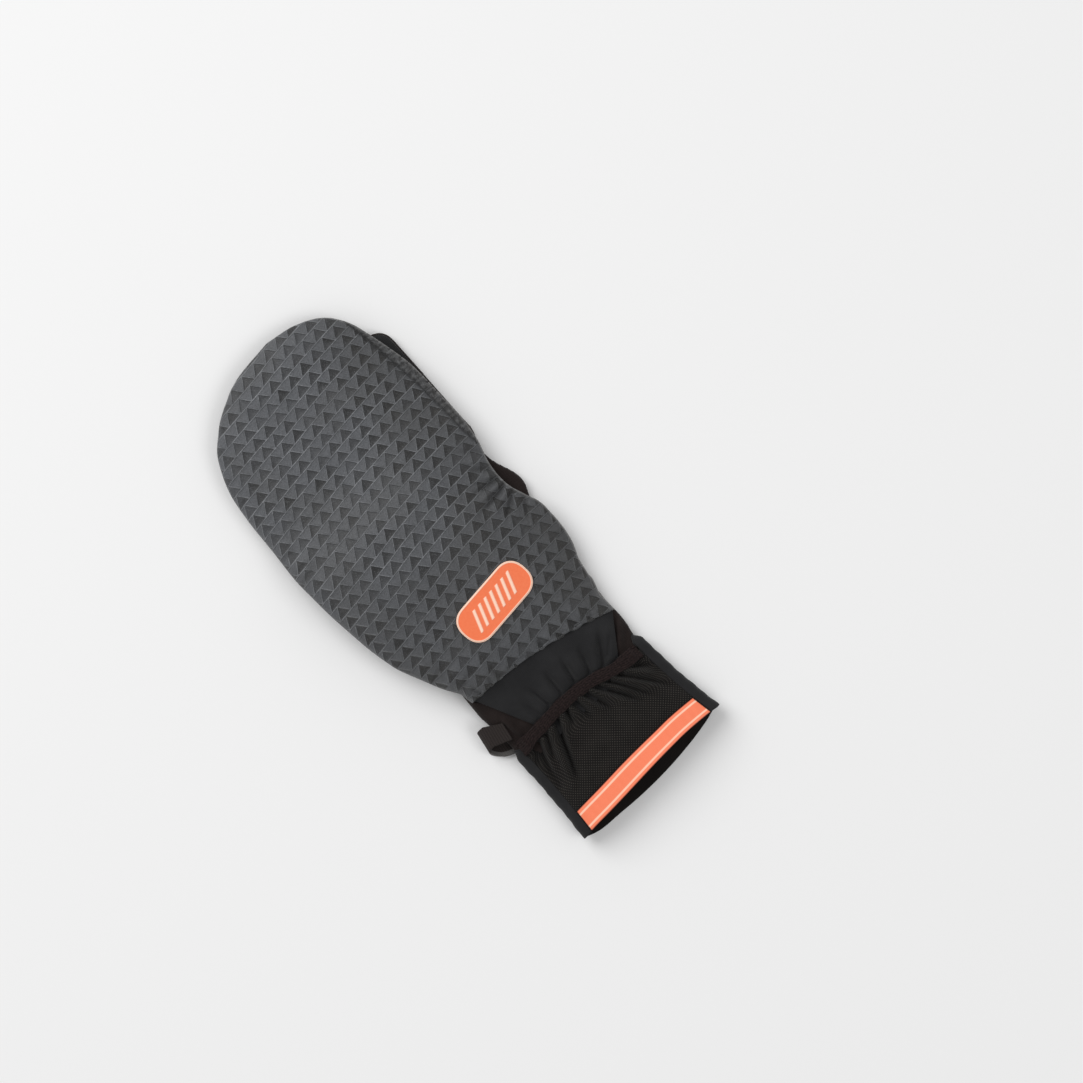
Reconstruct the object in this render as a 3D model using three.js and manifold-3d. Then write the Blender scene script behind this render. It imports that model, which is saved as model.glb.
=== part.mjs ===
// A convertible running glove for the right hand: a softshell glove with a mitten hood that is sewn to the back
// of the hand and pulled over the fingers. It lies palm down with the thumb tucked under the palm.
// +Y runs from the cuff to the fingertips, +X to the little finger and +Z up. The origin is on the surface that
// the glove lies on, under the middle of the cuff's edge.

import * as THREE from "three";
import { mergeVertices } from "three/addons/utils/BufferGeometryUtils.js";
import Module from "manifold-3d";

// Driving dimensions, in millimetres.
const cuffLength = 50; // the cuff's edge to the wrist joint
const mouthWidth = 91; // across the cuff's open edge
const mouthHeight = 16.5;
const mouthSkew = 1.1; // how far the mouth's edge line slants
const mouthLip = 4.8; // how far the palm side's edge stands out past the back's
const wristWidth = 84; // across the wrist joint
const wristHeight = 13;
const clothWall = 1.3;
const seamGap = 0.3; // between two pieces that are sewn or lie together
const stripWidth = 5; // of a side strip, seen on the cuff's back
const bandWidth = 11.3;
const bandThickness = 0.7;
const bindingWidth = 5.4;
const bindingThickness = 2.2;
const cuffFoldDepth = 1.5;
const cuffFoldWidth = 2.2;
const pocketLength = 28; // the wrist joint to the hood's base seam, on the middle line
const pocketFoldHeight = 1.6;
const pocketFoldWidth = 2.4;
const pocketPuff = 1.0;
const palmLength = 133; // the wrist joint to the finger crotches
const palmHeight = 15;
const fingerPitch = 25.7;
const fingerWidth = 21;
const indexLength = 73;
const middleLength = 81;
const ringLength = 75;
const littleLength = 60;
const littleWidth = 23.6;
const littleHeight = 7.4;
const thumbSetBack = 36; // the wrist joint to the thumb's root
const thumbLength = 77;
const thumbWidth = 23;
const thumbHeight = 7.6;
const hoodWall = 1.3;
const hoodEase = 0.7; // room between the hood and the glove in it
const hoodSlack = 8.7; // how much wider the hood is than the four fingers
const hoodTipRoom = 10; // the middle fingertip to the hood's tip
const hoodTipRound = 24; // the length over which the hood's tip rounds off
const seamDrop = 7; // how far the base seam slants: it falls by half as much again on the little finger's side
const patchLength = 44;
const patchWidth = 22.5;
const patchThickness = 0.9;
const patchPlace = 60; // the wrist joint to the middle of the patch
const tabWidth = 10.6;
const tabReach = 7.9; // from the wrist's side
const tabThickness = 1.2;
const tabHeight = 7; // between the middles of the loop's two legs
const tabPlace = 14.8; // the wrist joint to the middle of the loop's fold
const tabRise = 5.5; // the loop's middle over the surface
const tabDrop = 8.2; // how far towards the cuff the lower leg comes in

// Places that follow from the driving dimensions.
const wristY = cuffLength;
const crotchY = wristY + palmLength;
const baseSeamY = wristY + pocketLength;
const tipY = crotchY + middleLength + hoodTipRoom;
const hoodLength = tipY - baseSeamY;
const handWidth = 4 * fingerPitch;
const hoodWidth = handWidth + hoodSlack;
const thumbRootY = wristY + thumbSetBack;
const thumbTipY = thumbRootY + thumbLength;
const thumbMiddleX = -1.13 * fingerPitch;
const thumbEdgeX = thumbMiddleX + thumbWidth / 2;
const hoodLayer = hoodWall + hoodEase;

const mix = THREE.MathUtils.lerp;
const smooth = (from, to, value) => THREE.MathUtils.smoothstep(value, from, to);

// The edges of the hand, from the wrist joint to the crotches. along is a share of the palm's length. left and
// right are shares of a width that is the wrist's by the share named wrist, and the hand's by the rest.
const handRows = [
  { along: 0, left: -0.5, right: 0.44, wrist: 1 },
  { along: 0.075, left: -0.5, right: 0.467, wrist: 1 },
  { along: 0.18, left: -0.512, right: 0.47, wrist: 1 },
  { along: 0.286, left: -0.498, right: 0.476, wrist: 1 },
  { along: 0.376, left: -0.476, right: 0.444, wrist: 0.5 },
  { along: 0.489, left: -0.486, right: 0.423, wrist: 0 },
  { along: 0.586, left: -0.525, right: 0.438, wrist: 0 },
  { along: 0.639, left: -0.54, right: 0.462, wrist: 0 },
  { along: 0.699, left: -0.55, right: 0.492, wrist: 0 },
  { along: 0.752, left: -0.554, right: 0.48, wrist: 0 },
  { along: 0.805, left: -0.554, right: 0.455, wrist: 0 },
  { along: 0.865, left: -0.554, right: 0.4445, wrist: 0 },
  { along: 0.94, left: -0.545, right: 0.462, wrist: 0 },
  { along: 1.02, left: -0.53, right: 0.477, wrist: 0 },
];

// The edges of the hood, from its base seam to its tip, in the same way: along is a share of the hood's length.
// The right edge is drawn in at a third of the way, where the little finger has slipped out under it.
const hoodRows = [
  { along: 0, left: -0.476, right: 0.468, wrist: 1 },
  { along: 0.051, left: -0.494, right: 0.496, wrist: 1 },
  { along: 0.087, left: -0.479, right: 0.453, wrist: 0.6 },
  { along: 0.138, left: -0.472, right: 0.443, wrist: 0.2 },
  { along: 0.214, left: -0.502, right: 0.4395, wrist: 0 },
  { along: 0.265, left: -0.52, right: 0.436, wrist: 0 },
  { along: 0.301, left: -0.529, right: 0.413, wrist: 0 },
  { along: 0.342, left: -0.536, right: 0.39, wrist: 0 },
  { along: 0.378, left: -0.542, right: 0.386, wrist: 0 },
  { along: 0.418, left: -0.547, right: 0.395, wrist: 0 },
  { along: 0.469, left: -0.55, right: 0.423, wrist: 0 },
  { along: 0.52, left: -0.553, right: 0.4395, wrist: 0 },
  { along: 0.622, left: -0.54, right: 0.444, wrist: 0 },
  { along: 0.724, left: -0.525, right: 0.441, wrist: 0 },
  { along: 0.801, left: -0.4996, right: 0.417, wrist: 0 },
  { along: 0.852, left: -0.462, right: 0.396, wrist: 0 },
  { along: 0.888, left: -0.424, right: 0.378, wrist: 0 },
  { along: 0.918, left: -0.368, right: 0.352, wrist: 0 },
  { along: 0.944, left: -0.309, right: 0.318, wrist: 0 },
  { along: 0.964, left: -0.242, right: 0.2735, wrist: 0 },
  { along: 0.98, left: -0.179, right: 0.215, wrist: 0 },
  { along: 0.99, left: -0.108, right: 0.161, wrist: 0 },
  { along: 1, left: 0.054, right: 0.054, wrist: 0 },
];

// How thick the hand is along the glove, as shares of the palm's height. The wrist's share is its own height.
const heightRows = [
  { along: 0, height: 0.73 },
  { along: 0.15, height: 0.8 },
  { along: 0.3, height: 0.9 },
  { along: 0.45, height: 0.97 },
  { along: 0.6, height: 1 },
  { along: 0.75, height: 0.97 },
  { along: 0.9, height: 0.9 },
  { along: 1, height: 0.83 },
  { along: 1.15, height: 0.79 },
  { along: 1.35, height: 0.74 },
  { along: 1.7, height: 0.66 },
];

// The folds that fan out over the cuff's mesh from under the binding. top and foot are shares of the half width,
// reach is a share of the cuff's length and depth of the fold depth.
const cuffFolds = [
  { top: -0.7, foot: -0.92, reach: 0.36, depth: 0.7 },
  { top: -0.36, foot: -0.84, reach: 0.52, depth: 1 },
  { top: -0.16, foot: -0.36, reach: 0.3, depth: 0.5 },
  { top: 0.02, foot: 0.02, reach: 0.26, depth: 0.6 },
  { top: 0.14, foot: 0.5, reach: 0.58, depth: 0.9 },
  { top: 0.32, foot: 0.84, reach: 0.58, depth: 1 },
  { top: 0.62, foot: 0.92, reach: 0.44, depth: 0.7 },
];

// The ridges of the gathered pocket panel. top and foot are shares of the half wrist at the seam and at the
// binding, and height is a share of the fold height.
const pocketFolds = [
  { foot: -0.48, top: -0.72, height: 0.7 },
  { foot: -0.26, top: -0.34, height: 1 },
  { foot: -0.06, top: -0.08, height: 0.9 },
  { foot: 0.14, top: 0.16, height: 0.9 },
  { foot: 0.32, top: 0.5, height: 1 },
  { foot: 0.46, top: 0.78, height: 0.8 },
];

// The middle line of the wrist binding: x is a share of the half wrist, y of the binding's width from the joint.
const bindingRows = [
  { x: -0.94, y: -0.06 },
  { x: -0.6, y: 0.2 },
  { x: -0.24, y: 0.37 },
  { x: 0, y: 0.3 },
  { x: 0.24, y: -0.02 },
  { x: 0.48, y: -0.56 },
  { x: 0.72, y: -0.74 },
  { x: 0.81, y: -0.8 },
];

// Each finger: its place across the hand in pitches from the hand's middle, its length, how far it leans to the
// little finger as a share of its length, its width, and whether it lies flat on the surface outside the hood.
const fingers = [
  { place: -1.55, length: indexLength, lean: 0.134, width: fingerWidth, flat: false },
  { place: -0.55, length: middleLength, lean: 0.062, width: fingerWidth, flat: false },
  { place: 0.45, length: ringLength, lean: 0.005, width: fingerWidth, flat: false },
  { place: 1.45, length: littleLength, lean: 0.05, width: littleWidth, flat: true },
];

// The value of one column between the two rows on either side of a place.
function read(rows, place, key, column) {
  const last = rows.length - 1;
  let i = rows.findIndex((row) => row[key] > place);
  i = i < 0 ? last : Math.max(i, 1);
  const [a, b] = [rows[i - 1], rows[i]];
  return mix(a[column], b[column], (place - a[key]) / (b[key] - a[key]));
}

// The value at a share of the way along a list of uneven steps.
const stepped = (steps, t) => {
  const k = t * (steps.length - 1);
  const i = Math.min(Math.floor(k), steps.length - 2);
  return mix(steps[i], steps[i + 1], k - i);
};

// A closed body over two grids of points: the outer face, the inner face and the rims between them.
function sheetGeometry(outer, inner, across, along) {
  const points = [];
  for (const face of [outer, inner])
    for (let j = 0; j <= along; j++)
      for (let i = 0; i <= across; i++) points.push(...face(i / across, j / along).toArray());
  const row = across + 1;
  const layer = row * (along + 1);
  const index = [];
  const quad = (a, b, c, d) => index.push(a, b, c, a, c, d);
  for (let j = 0; j < along; j++)
    for (let i = 0; i < across; i++) {
      const k = j * row + i;
      quad(k, k + 1, k + row + 1, k + row);
      quad(layer + k, layer + k + row, layer + k + row + 1, layer + k + 1);
    }
  for (let i = 0; i < across; i++) {
    const end = along * row + i;
    quad(i + 1, i, layer + i, layer + i + 1);
    quad(end, end + 1, layer + end + 1, layer + end);
  }
  for (let j = 0; j < along; j++) {
    const k = j * row;
    const end = k + across;
    quad(k, k + row, layer + k + row, layer + k);
    quad(end + row, end, layer + end, layer + end + row);
  }
  return closed(points, index);
}

// A closed body over rings of points that follow each other, with a fan over each end.
function tubeGeometry(rings) {
  const sides = rings[0].length;
  const points = rings.flat().flatMap((p) => p.toArray());
  const index = [];
  for (let j = 0; j < rings.length - 1; j++)
    for (let i = 0; i < sides; i++) {
      const [a, b] = [j * sides + i, j * sides + ((i + 1) % sides)];
      index.push(a, b, b + sides, a, b + sides, a + sides);
    }
  for (const [ring, start, turn] of [[rings[0], 0, 1], [rings.at(-1), (rings.length - 1) * sides, -1]]) {
    const middle = ring.reduce((sum, p) => sum.add(p), new THREE.Vector3()).divideScalar(sides);
    const centre = points.length / 3;
    points.push(...middle.toArray());
    for (let i = 0; i < sides; i++) {
      const [a, b] = [start + i, start + ((i + 1) % sides)];
      index.push(centre, ...(turn > 0 ? [b, a] : [a, b]));
    }
  }
  return closed(points, index);
}

// Joins the points that coincide, drops the triangles that have no area left and turns the body face out.
function closed(points, index) {
  const geometry = new THREE.BufferGeometry();
  geometry.setAttribute("position", new THREE.Float32BufferAttribute(points, 3));
  geometry.setIndex(index);
  const merged = mergeVertices(geometry, 1e-3);
  const position = merged.getAttribute("position");
  const corner = (i) => new THREE.Vector3().fromBufferAttribute(position, i);
  const kept = [];
  let volume = 0;
  for (let i = 0; i < merged.index.count; i += 3) {
    const [a, b, c] = [0, 1, 2].map((k) => merged.index.getX(i + k));
    if (a === b || b === c || c === a) continue;
    kept.push(a, b, c);
    volume += corner(a).dot(corner(b).cross(corner(c)));
  }
  if (volume < 0) kept.reverse();
  merged.setIndex(kept);
  return merged;
}

const wasm = await Module();
wasm.setup();

// A solid that can be cut and joined, from a closed geometry, and the way back.
function solidOf(geometry) {
  const vertProperties = geometry.getAttribute("position").array;
  const triVerts = new Uint32Array(geometry.index.array);
  return new wasm.Manifold(new wasm.Mesh({ numProp: 3, vertProperties, triVerts }));
}
function geometryOf(solid) {
  const bodies = solid.decompose(); // a cut can leave crumbs beside the piece itself
  const mesh = bodies.reduce((a, b) => (a.volume() > b.volume() ? a : b)).getMesh();
  const geometry = new THREE.BufferGeometry();
  geometry.setAttribute("position", new THREE.BufferAttribute(mesh.vertProperties, 3));
  geometry.setIndex(new THREE.BufferAttribute(mesh.triVerts, 1));
  return geometry;
}

// A surface moved inwards by a wall's thickness, along its own normal. turn is -1 where u runs the other way.
function inward(surface, wall, turn = 1) {
  const step = 1e-3;
  const low = (t) => Math.max(t - step, 0);
  const high = (t) => Math.min(t + step, 1);
  return (u, v) => {
    const w = Math.min(v, 1 - 2 * step);
    const across = surface(high(u), w).sub(surface(low(u), w));
    const along = surface(u, high(w)).sub(surface(u, low(w)));
    const normal = across.cross(along).normalize();
    return surface(u, v).addScaledVector(normal, -wall * turn);
  };
}

// The section of a piece that lies flat: a dome above and a flat underside with round corners below. Across, w
// runs from -1 to 1, and each gives the share of the half width and the share of the height from the edge.
const domePower = 2.4;
const flatShare = 0.82;
const flatTurn = 0.6;
function dome(w) {
  const angle = (Math.abs(w) * Math.PI) / 2;
  const power = 2 / domePower;
  return [Math.sign(w) * Math.sin(angle) ** power, Math.max(Math.cos(angle), 0) ** power];
}
function underside(w) {
  const size = Math.abs(w);
  if (size <= flatTurn) return [(flatShare * w) / flatTurn, 1];
  const angle = (((size - flatTurn) / (1 - flatTurn)) * Math.PI) / 2;
  return [Math.sign(w) * (flatShare + (1 - flatShare) * Math.sin(angle)), Math.max(Math.cos(angle), 0)];
}
// Where across a share of the half width lies, on the dome and on the underside.
const domeAt = (share) => (Math.sign(share) * Math.asin(Math.abs(share) ** (domePower / 2)) * 2) / Math.PI;
function undersideAt(share) {
  const size = Math.abs(share);
  if (size <= flatShare) return (share / flatShare) * flatTurn;
  const angle = Math.asin((size - flatShare) / (1 - flatShare));
  return Math.sign(share) * (flatTurn + ((1 - flatTurn) * angle * 2) / Math.PI);
}
// The dome's height, as a share, over a share of the half width.
const domeRise = (share) => Math.max(1 - Math.abs(share) ** domePower, 0) ** (1 / domePower);
const edgeShare = 0.42; // the height of the side edge in the piece's own thickness

// What the palm lies on: the thumb, under the thumb side of the palm, and less of it under the other side.
function thumbLift(x, y) {
  const rise = smooth(thumbRootY - 0.6 * thumbWidth, thumbRootY + 0.45 * thumbWidth, y);
  const fall = 1 - smooth(thumbTipY + 0.1 * thumbWidth, thumbTipY + 1.8 * thumbWidth, y);
  const side = mix(1, 0.1, smooth(thumbEdgeX + 0.1 * thumbWidth, thumbEdgeX + 1.9 * thumbWidth, x));
  return (thumbHeight + 1.5 * seamGap) * rise * fall * side;
}

// How far a place belongs to the little finger, which lies flat on the surface with the hood's edge over it.
const ringEdgeX = 0.45 * fingerPitch + fingerWidth / 2 + 2 * seamGap;
const littleEdgeX = 1.45 * fingerPitch - 0.37 * littleWidth;
const sideEase = 0.35 * fingerPitch; // how much wider the step between ring and little finger is on the hand's and hood's back
const sideStart = (y) => smooth(crotchY - 0.6 * palmLength, crotchY - 0.38 * palmLength, y);
const littleSide = (x, y) => smooth(ringEdgeX - sideEase, littleEdgeX + sideEase, x) * sideStart(y);

// The hand: how far it is raised on the hood's palm panel, how thick it is, and its underside, edge and top.
const hoodMouthY = crotchY - 1.3 * fingerPitch;
const raise = (y) => (hoodLayer + seamGap) * smooth(hoodMouthY - fingerPitch, hoodMouthY - 0.1 * fingerPitch, y);
const bodyHeight = (y) => {
  const wristBlend = 1 - smooth(wristY, wristY + pocketLength, y);
  const own = palmHeight * read(heightRows, (y - wristY) / palmLength, "along", "height");
  return mix(own, wristHeight - 2 * seamGap - clothWall, wristBlend);
};
function handEdges(y) {
  const along = (y - wristY) / palmLength;
  const wrist = read(handRows, along, "along", "wrist");
  const width = mix(handWidth, wristWidth, wrist);
  return [width * read(handRows, along, "along", "left"), width * read(handRows, along, "along", "right")];
}
const handUnder = (x, y) => thumbLift(x, y) + raise(y) * (1 - littleSide(x, y));
const handHeight = (x, y) => mix(bodyHeight(y), littleHeight + seamGap, littleSide(x, y));
const handEdge = (x, y) => handUnder(x, y) + edgeShare * handHeight(x, y);
function handTop(x, y) {
  const [left, right] = handEdges(y);
  const share = (2 * x - left - right) / (right - left);
  const height = handHeight(x, y);
  return handUnder(x, y) + height * mix(edgeShare, 1, domeRise(share));
}

// A ring around a flat piece at y, between left and right, with as many sides above as below. edge is the level
// of its side edges, and above and below are its heights over and under that level.
const palmSides = 12;
const fingerSides = 8;
function ringAt(sides, y, left, right, edge, above, below) {
  const [middle, half] = [(left + right) / 2, (right - left) / 2];
  const ring = [];
  const put = ([share, rise], height) => {
    const x = middle + half * share;
    ring.push(new THREE.Vector3(x, y, edge(x, y) + height(x, y) * rise));
  };
  for (let i = 0; i <= sides; i++) put(dome(1 - (2 * i) / sides), above);
  for (let i = 1; i < sides; i++) put(underside(-1 + (2 * i) / sides), (x, atY) => -below(x, atY));
  return ring;
}

// The palm's tube. An inset makes the hollow, whose open end runs out past the wrist.
const palmSteps = [0, 0.08, 0.17, 0.23, 0.29, 0.35, 0.42, 0.5, 0.58, 0.64, 0.7, 0.76, 0.82, 0.88, 0.95, 1.02];
function palmSolid(inset, past) {
  const rings = palmSteps.map((along, i) => {
    const end = i === palmSteps.length - 1;
    const y = i ? wristY + along * palmLength - (end ? inset : 0) : wristY + seamGap - past;
    const [left, right] = handEdges(Math.max(y, wristY));
    const above = (x, atY) => (1 - edgeShare) * handHeight(x, atY) - inset;
    const below = (x, atY) => edgeShare * handHeight(x, atY) - inset;
    return ringAt(palmSides, y, left + inset, right - inset, handEdge, above, below);
  });
  return solidOf(tubeGeometry(rings));
}

// A finger's tube, from inside the palm to a round tip.
const fingerSteps = [0, 0.35, 0.65, 0.84, 0.94, 1];
const fingerTipRound = 0.55; // of the finger's width
const fingerRootShare = 0.75; // a finger's size at its root inside the palm, as a share of its own
const fingerSlim = 0.88; // a finger's thickness as a share of the hand's there
function fingerSolid(finger, inset) {
  const startY = crotchY - fingerPitch / 2;
  const length = crotchY + finger.length - inset - startY;
  const roundFrom = 1 - (fingerTipRound * finger.width) / length;
  const side = finger.flat ? 1 : 0;
  const rings = fingerSteps.map((t) => {
    const y = startY + length * t;
    const out = Math.max((y - crotchY) / finger.length, 0);
    const into = Math.max((t - roundFrom) / (1 - roundFrom), 0);
    const round = t ? Math.sqrt(Math.max(1 - into ** 2, 0.05)) : fingerRootShare;
    const middle = finger.place * fingerPitch + finger.lean * finger.length * out;
    const half = ((finger.width * mix(1, 0.87, out)) / 2 - inset) * round;
    const full = mix(bodyHeight(y), littleHeight + seamGap, side);
    const thick = full * mix(fingerSlim, 1, side);
    const edge = (x, atY) => thumbLift(x, atY) + raise(atY) * (1 - side) + edgeShare * full;
    const above = () => ((1 - edgeShare) * thick - inset) * round;
    const below = () => (edgeShare * thick - inset) * round;
    return ringAt(fingerSides, y, middle - half, middle + half, edge, above, below);
  });
  return solidOf(tubeGeometry(rings));
}
const handSolid = (inset, past) =>
  fingers.reduce((sum, finger) => sum.add(fingerSolid(finger, inset)), palmSolid(inset, past));

// All that lies above, or below, the seam between the hand's back and its palm. At the wrist the palm's cloth comes
// up the sides. sign is 1 above the seam and -1 below it.
const seamColumns = [-0.7, -0.15, -0.03, 0.08, 0.2, 0.62];
const seamRows = [-0.4, 0, 0.17, 0.23, 0.29, 0.35, 0.87, 0.95, 1.06, 1.17, 2];
const seamLevel = 0.7; // over the surface, as a share of the little finger's height
const wristSeam = 0.82; // the seam's level at the wrist, as a share of the wrist's height
function seamSide(sign) {
  const seam = (u, v) => {
    const along = stepped(seamRows, v);
    const [x, y] = [stepped(seamColumns, u) * handWidth, wristY + along * palmLength];
    const level = mix(wristSeam * wristHeight, seamLevel * littleHeight, smooth(0.17, 0.35, along));
    return new THREE.Vector3(x, y, thumbLift(x, y) + level + (sign * seamGap) / 2);
  };
  const far = (u, v) => seam(u, v).setZ(sign * 3 * palmHeight);
  return solidOf(sheetGeometry(seam, far, seamColumns.length - 1, seamRows.length - 1));
}

// The thumb, a tube on the surface under the palm. Its root ends against the palm's rising underside.
function thumbSolid(inset, startY) {
  const steps = [0, 0.3, 0.6, 0.8, 0.92, 1];
  const length = thumbTipY - inset - startY;
  const roundFrom = 1 - (0.6 * thumbWidth) / length;
  const rings = steps.map((t) => {
    const into = Math.max((t - roundFrom) / (1 - roundFrom), 0);
    const round = Math.sqrt(Math.max(1 - into ** 2, 0.05));
    const half = ((thumbWidth / 2) * mix(1, 0.88, t) - inset) * round;
    const above = () => ((1 - edgeShare) * thumbHeight - inset) * round;
    const below = () => (edgeShare * thumbHeight - inset) * round;
    const edge = () => edgeShare * thumbHeight;
    const y = startY + length * t;
    return ringAt(fingerSides, y, thumbMiddleX - half, thumbMiddleX + half, edge, above, below);
  });
  return solidOf(tubeGeometry(rings));
}

// The hood: what it lies on, how thick it is and its two faces. On the little finger's side it is flat cloth.
const hoodFlat = 2 * hoodWall + 3.5 * hoodEase;
const sideEnd = (y) => {
  const past = crotchY + littleLength;
  return 1 - smooth(past + 0.1 * fingerPitch, past + fingerPitch, y);
};
const overLittle = littleHeight + 3 * seamGap;
const hoodSide = (x, y) => littleSide(x, y) * sideEnd(y);
const hoodUnder = (x, y) => thumbLift(x, y) + hoodSide(x, y) * overLittle;
const palmStep = (x, y) => smooth(ringEdgeX, littleEdgeX, x) * sideStart(y) * sideEnd(y);
function hoodHeight(x, y) {
  const into = Math.max((y - tipY + hoodTipRound) / hoodTipRound, 0);
  const round = Math.sqrt(Math.max(1 - into ** 2, 0));
  const full = bodyHeight(y) + raise(y) + hoodLayer;
  return mix(full, hoodFlat, hoodSide(x, y)) * round;
}
const hoodTilt = (x, y) => {
  const into = Math.max((y - tipY + hoodTipRound) / hoodTipRound, 0);
  return (bodyHeight(y) + 2 * hoodLayer) * edgeShare * (1 - Math.sqrt(Math.max(1 - into ** 2, 0)));
};
function hoodEdges(y) {
  const along = THREE.MathUtils.clamp((y - baseSeamY) / hoodLength, 0, 1);
  const wrist = read(hoodRows, along, "along", "wrist");
  const width = mix(hoodWidth, wristWidth, wrist);
  return [width * read(hoodRows, along, "along", "left"), width * read(hoodRows, along, "along", "right")];
}
// The level at which the hood's two panels meet, and the height of its back over a place, from the share of the
// way across. The back never cuts into the hand.
const hoodEdge = (x, y) => hoodUnder(x, y) + hoodTilt(x, y) + edgeShare * hoodHeight(x, y);
function hoodBackZ(share, x, y) {
  const rise = Math.max((1 - edgeShare) * hoodHeight(x, y) - seamGap / 2, 0);
  const own = hoodEdge(x, y) + seamGap / 2 + rise * domeRise(share);
  const [left, right] = handEdges(Math.max(y, wristY));
  const overHand = y < crotchY && x > left && x < right;
  return overHand ? Math.max(own, handTop(x, y) + hoodEase + 1.6 * hoodWall) : own;
}
// The base seam's slant over a share of the half width. It fades out along the hood's back.
const seamSlant = (share) => -seamDrop * (share + 0.5 * share ** 2);
const slantFade = (y) => 1 - smooth(baseSeamY, crotchY - fingerPitch, y);
const hoodSteps = hoodRows.map(({ along }) => along);
function hoodBack(u, v) {
  const row = stepped(hoodSteps, v);
  const [share] = dome(mix(-1, 1, u));
  const straight = mix(baseSeamY + seamGap, tipY, row);
  const y = straight + seamSlant(share) * slantFade(straight);
  const [left, right] = hoodEdges(y);
  const x = mix(left, right, (share + 1) / 2);
  return new THREE.Vector3(x, y, hoodBackZ(share, x, y));
}
// The palm-side panel starts at the mouth, which steps up past the crotch before the panel climbs over the little
// finger. The columns of the panel are closer together at that step.
const palmColumns = [-1, -0.85, -0.7, -0.6, -0.3, 0, 0.2, 0.3, 0.36, 0.4, 0.44, 0.48, 0.6, 0.7, 0.85, 1];
const palmRows = [0, 0.1, 0.25, 0.4, 0.55, 0.7, 0.8, 0.88, 0.94, 0.98, 1];
function hoodPalm(u, v) {
  const [share, rise] = underside(stepped(palmColumns, u));
  const [nearLeft, nearRight] = hoodEdges(crotchY);
  const mouthX = mix(nearLeft, nearRight, (share + 1) / 2);
  const mouth = mix(hoodMouthY, crotchY + 0.06 * palmLength, smooth(ringEdgeX - 0.55 * fingerPitch, ringEdgeX - 0.12 * fingerPitch, mouthX));
  const y = mix(mouth, tipY, stepped(palmRows, v));
  const [left, right] = hoodEdges(y);
  const x = mix(left, right, (share + 1) / 2);
  const top = hoodEdge(x, y) - seamGap / 2;
  const low = thumbLift(x, y) + palmStep(x, y) * overLittle + hoodTilt(x, y);
  return new THREE.Vector3(x, y, mix(top, Math.min(low, top), rise));
}

// The hood's inner faces. side is 1 for the back and -1 for the palm panel, which stay on their own side of the
// level where the two meet.
function hoodInside(surface, side) {
  const face = inward(surface, hoodWall, side);
  return (u, v) => {
    const point = face(u, v);
    const level = hoodEdge(point.x, point.y) + (side * seamGap) / 2;
    return point.setZ(side * Math.max(side * point.z, side * level));
  };
}

// The cuff: a flat tube whose half width eases from the mouth to the wrist.
const cuffEase = (y) => 1 - (1 - THREE.MathUtils.clamp(y / cuffLength, 0, 1)) ** 2;
const cuffHalf = (y) => mix(mouthWidth, wristWidth, cuffEase(y)) / 2;
const cuffMiddle = (y) => -mix(0.011 * mouthWidth, 0.024 * wristWidth, cuffEase(y));
const cuffHeight = (y) => mix(mouthHeight, wristHeight, THREE.MathUtils.clamp(y / cuffLength, 0, 1));
const cuffBackTop = (x, y) =>
  cuffHeight(y) * mix(edgeShare, 1, domeRise((x - cuffMiddle(y)) / cuffHalf(y)));
// The mouth's edge line on the back and on the palm side, over a share of the half width.
const backLine = (share) => mouthSkew * (share - share ** 8);
const palmLine = (share) => 1.4 * mouthSkew * share - mouthLip * (1 - share ** 2);

// How deep the gathers of the cuff's back are at a place.
function cuffFold(x, y) {
  let depth = 0;
  for (const fold of cuffFolds) {
    const down = (cuffLength - y) / (fold.reach * cuffLength);
    const line = cuffMiddle(y) + cuffHalf(y) * mix(fold.top, fold.foot, down);
    const fade = 1 - smooth(0.5, 1, down);
    depth += fold.depth * fade * Math.exp(-(((x - line) / cuffFoldWidth) ** 2));
  }
  return cuffFoldDepth * Math.min(depth, 1);
}
function cuffPoint(share, rise, y, back) {
  const x = cuffMiddle(y) + cuffHalf(y) * share;
  const edge = edgeShare * cuffHeight(y);
  const z = back ? edge + (cuffHeight(y) - edge) * rise - cuffFold(x, y) : edge * (1 - rise);
  return new THREE.Vector3(x, y, z);
}
const stripShare = (y, gap) => 1 - (stripWidth + gap) / cuffHalf(y);
function cuffMesh(u, v) {
  const nearEnd = bindingY(0) - seamGap;
  const row = v * nearEnd;
  const w = mix(-1, 1, u) * domeAt(stripShare(row, seamGap));
  const [share, rise] = dome(w);
  const x = cuffMiddle(cuffLength) + cuffHalf(cuffLength) * share;
  const y = mix(backLine(share), Math.min(bindingY(x), wristY - seamGap), v);
  return cuffPoint(share, rise, y, true);
}
function cuffPalm(u, v) {
  const w = mix(1, -1, u) * undersideAt(stripShare(v * cuffLength, seamGap));
  const [share, rise] = underside(w);
  return cuffPoint(share, rise, mix(palmLine(share), wristY - seamGap, v), false);
}
// A side strip runs from the back round the cuff's edge to the palm side.
function cuffStrip(side) {
  return (u, v) => {
    const inner = stripShare(v * cuffLength, 0) * side;
    const back = u < 0.5;
    const w = back ? mix(domeAt(inner), side, 2 * u) : mix(side, undersideAt(inner), 2 * u - 1);
    const [share, rise] = back ? dome(w) : underside(w);
    const line = mix(backLine(share), palmLine(share), smooth(0.3, 0.7, u));
    return cuffPoint(share, rise, mix(line, wristY - seamGap, v), back);
  };
}

// The reflective band, sewn over the mesh along the mouth's edge.
function bandFace(lift) {
  return (u, v) => {
    const w = mix(-1, 1, u) * domeAt(stripShare(v * bandWidth, 2 * seamGap));
    const [share] = dome(w);
    const y = backLine(share) + v * bandWidth + seamGap / 2;
    const x = cuffMiddle(y) + cuffHalf(y) * share;
    return new THREE.Vector3(x, y, cuffBackTop(x, y) + lift);
  };
}

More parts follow.
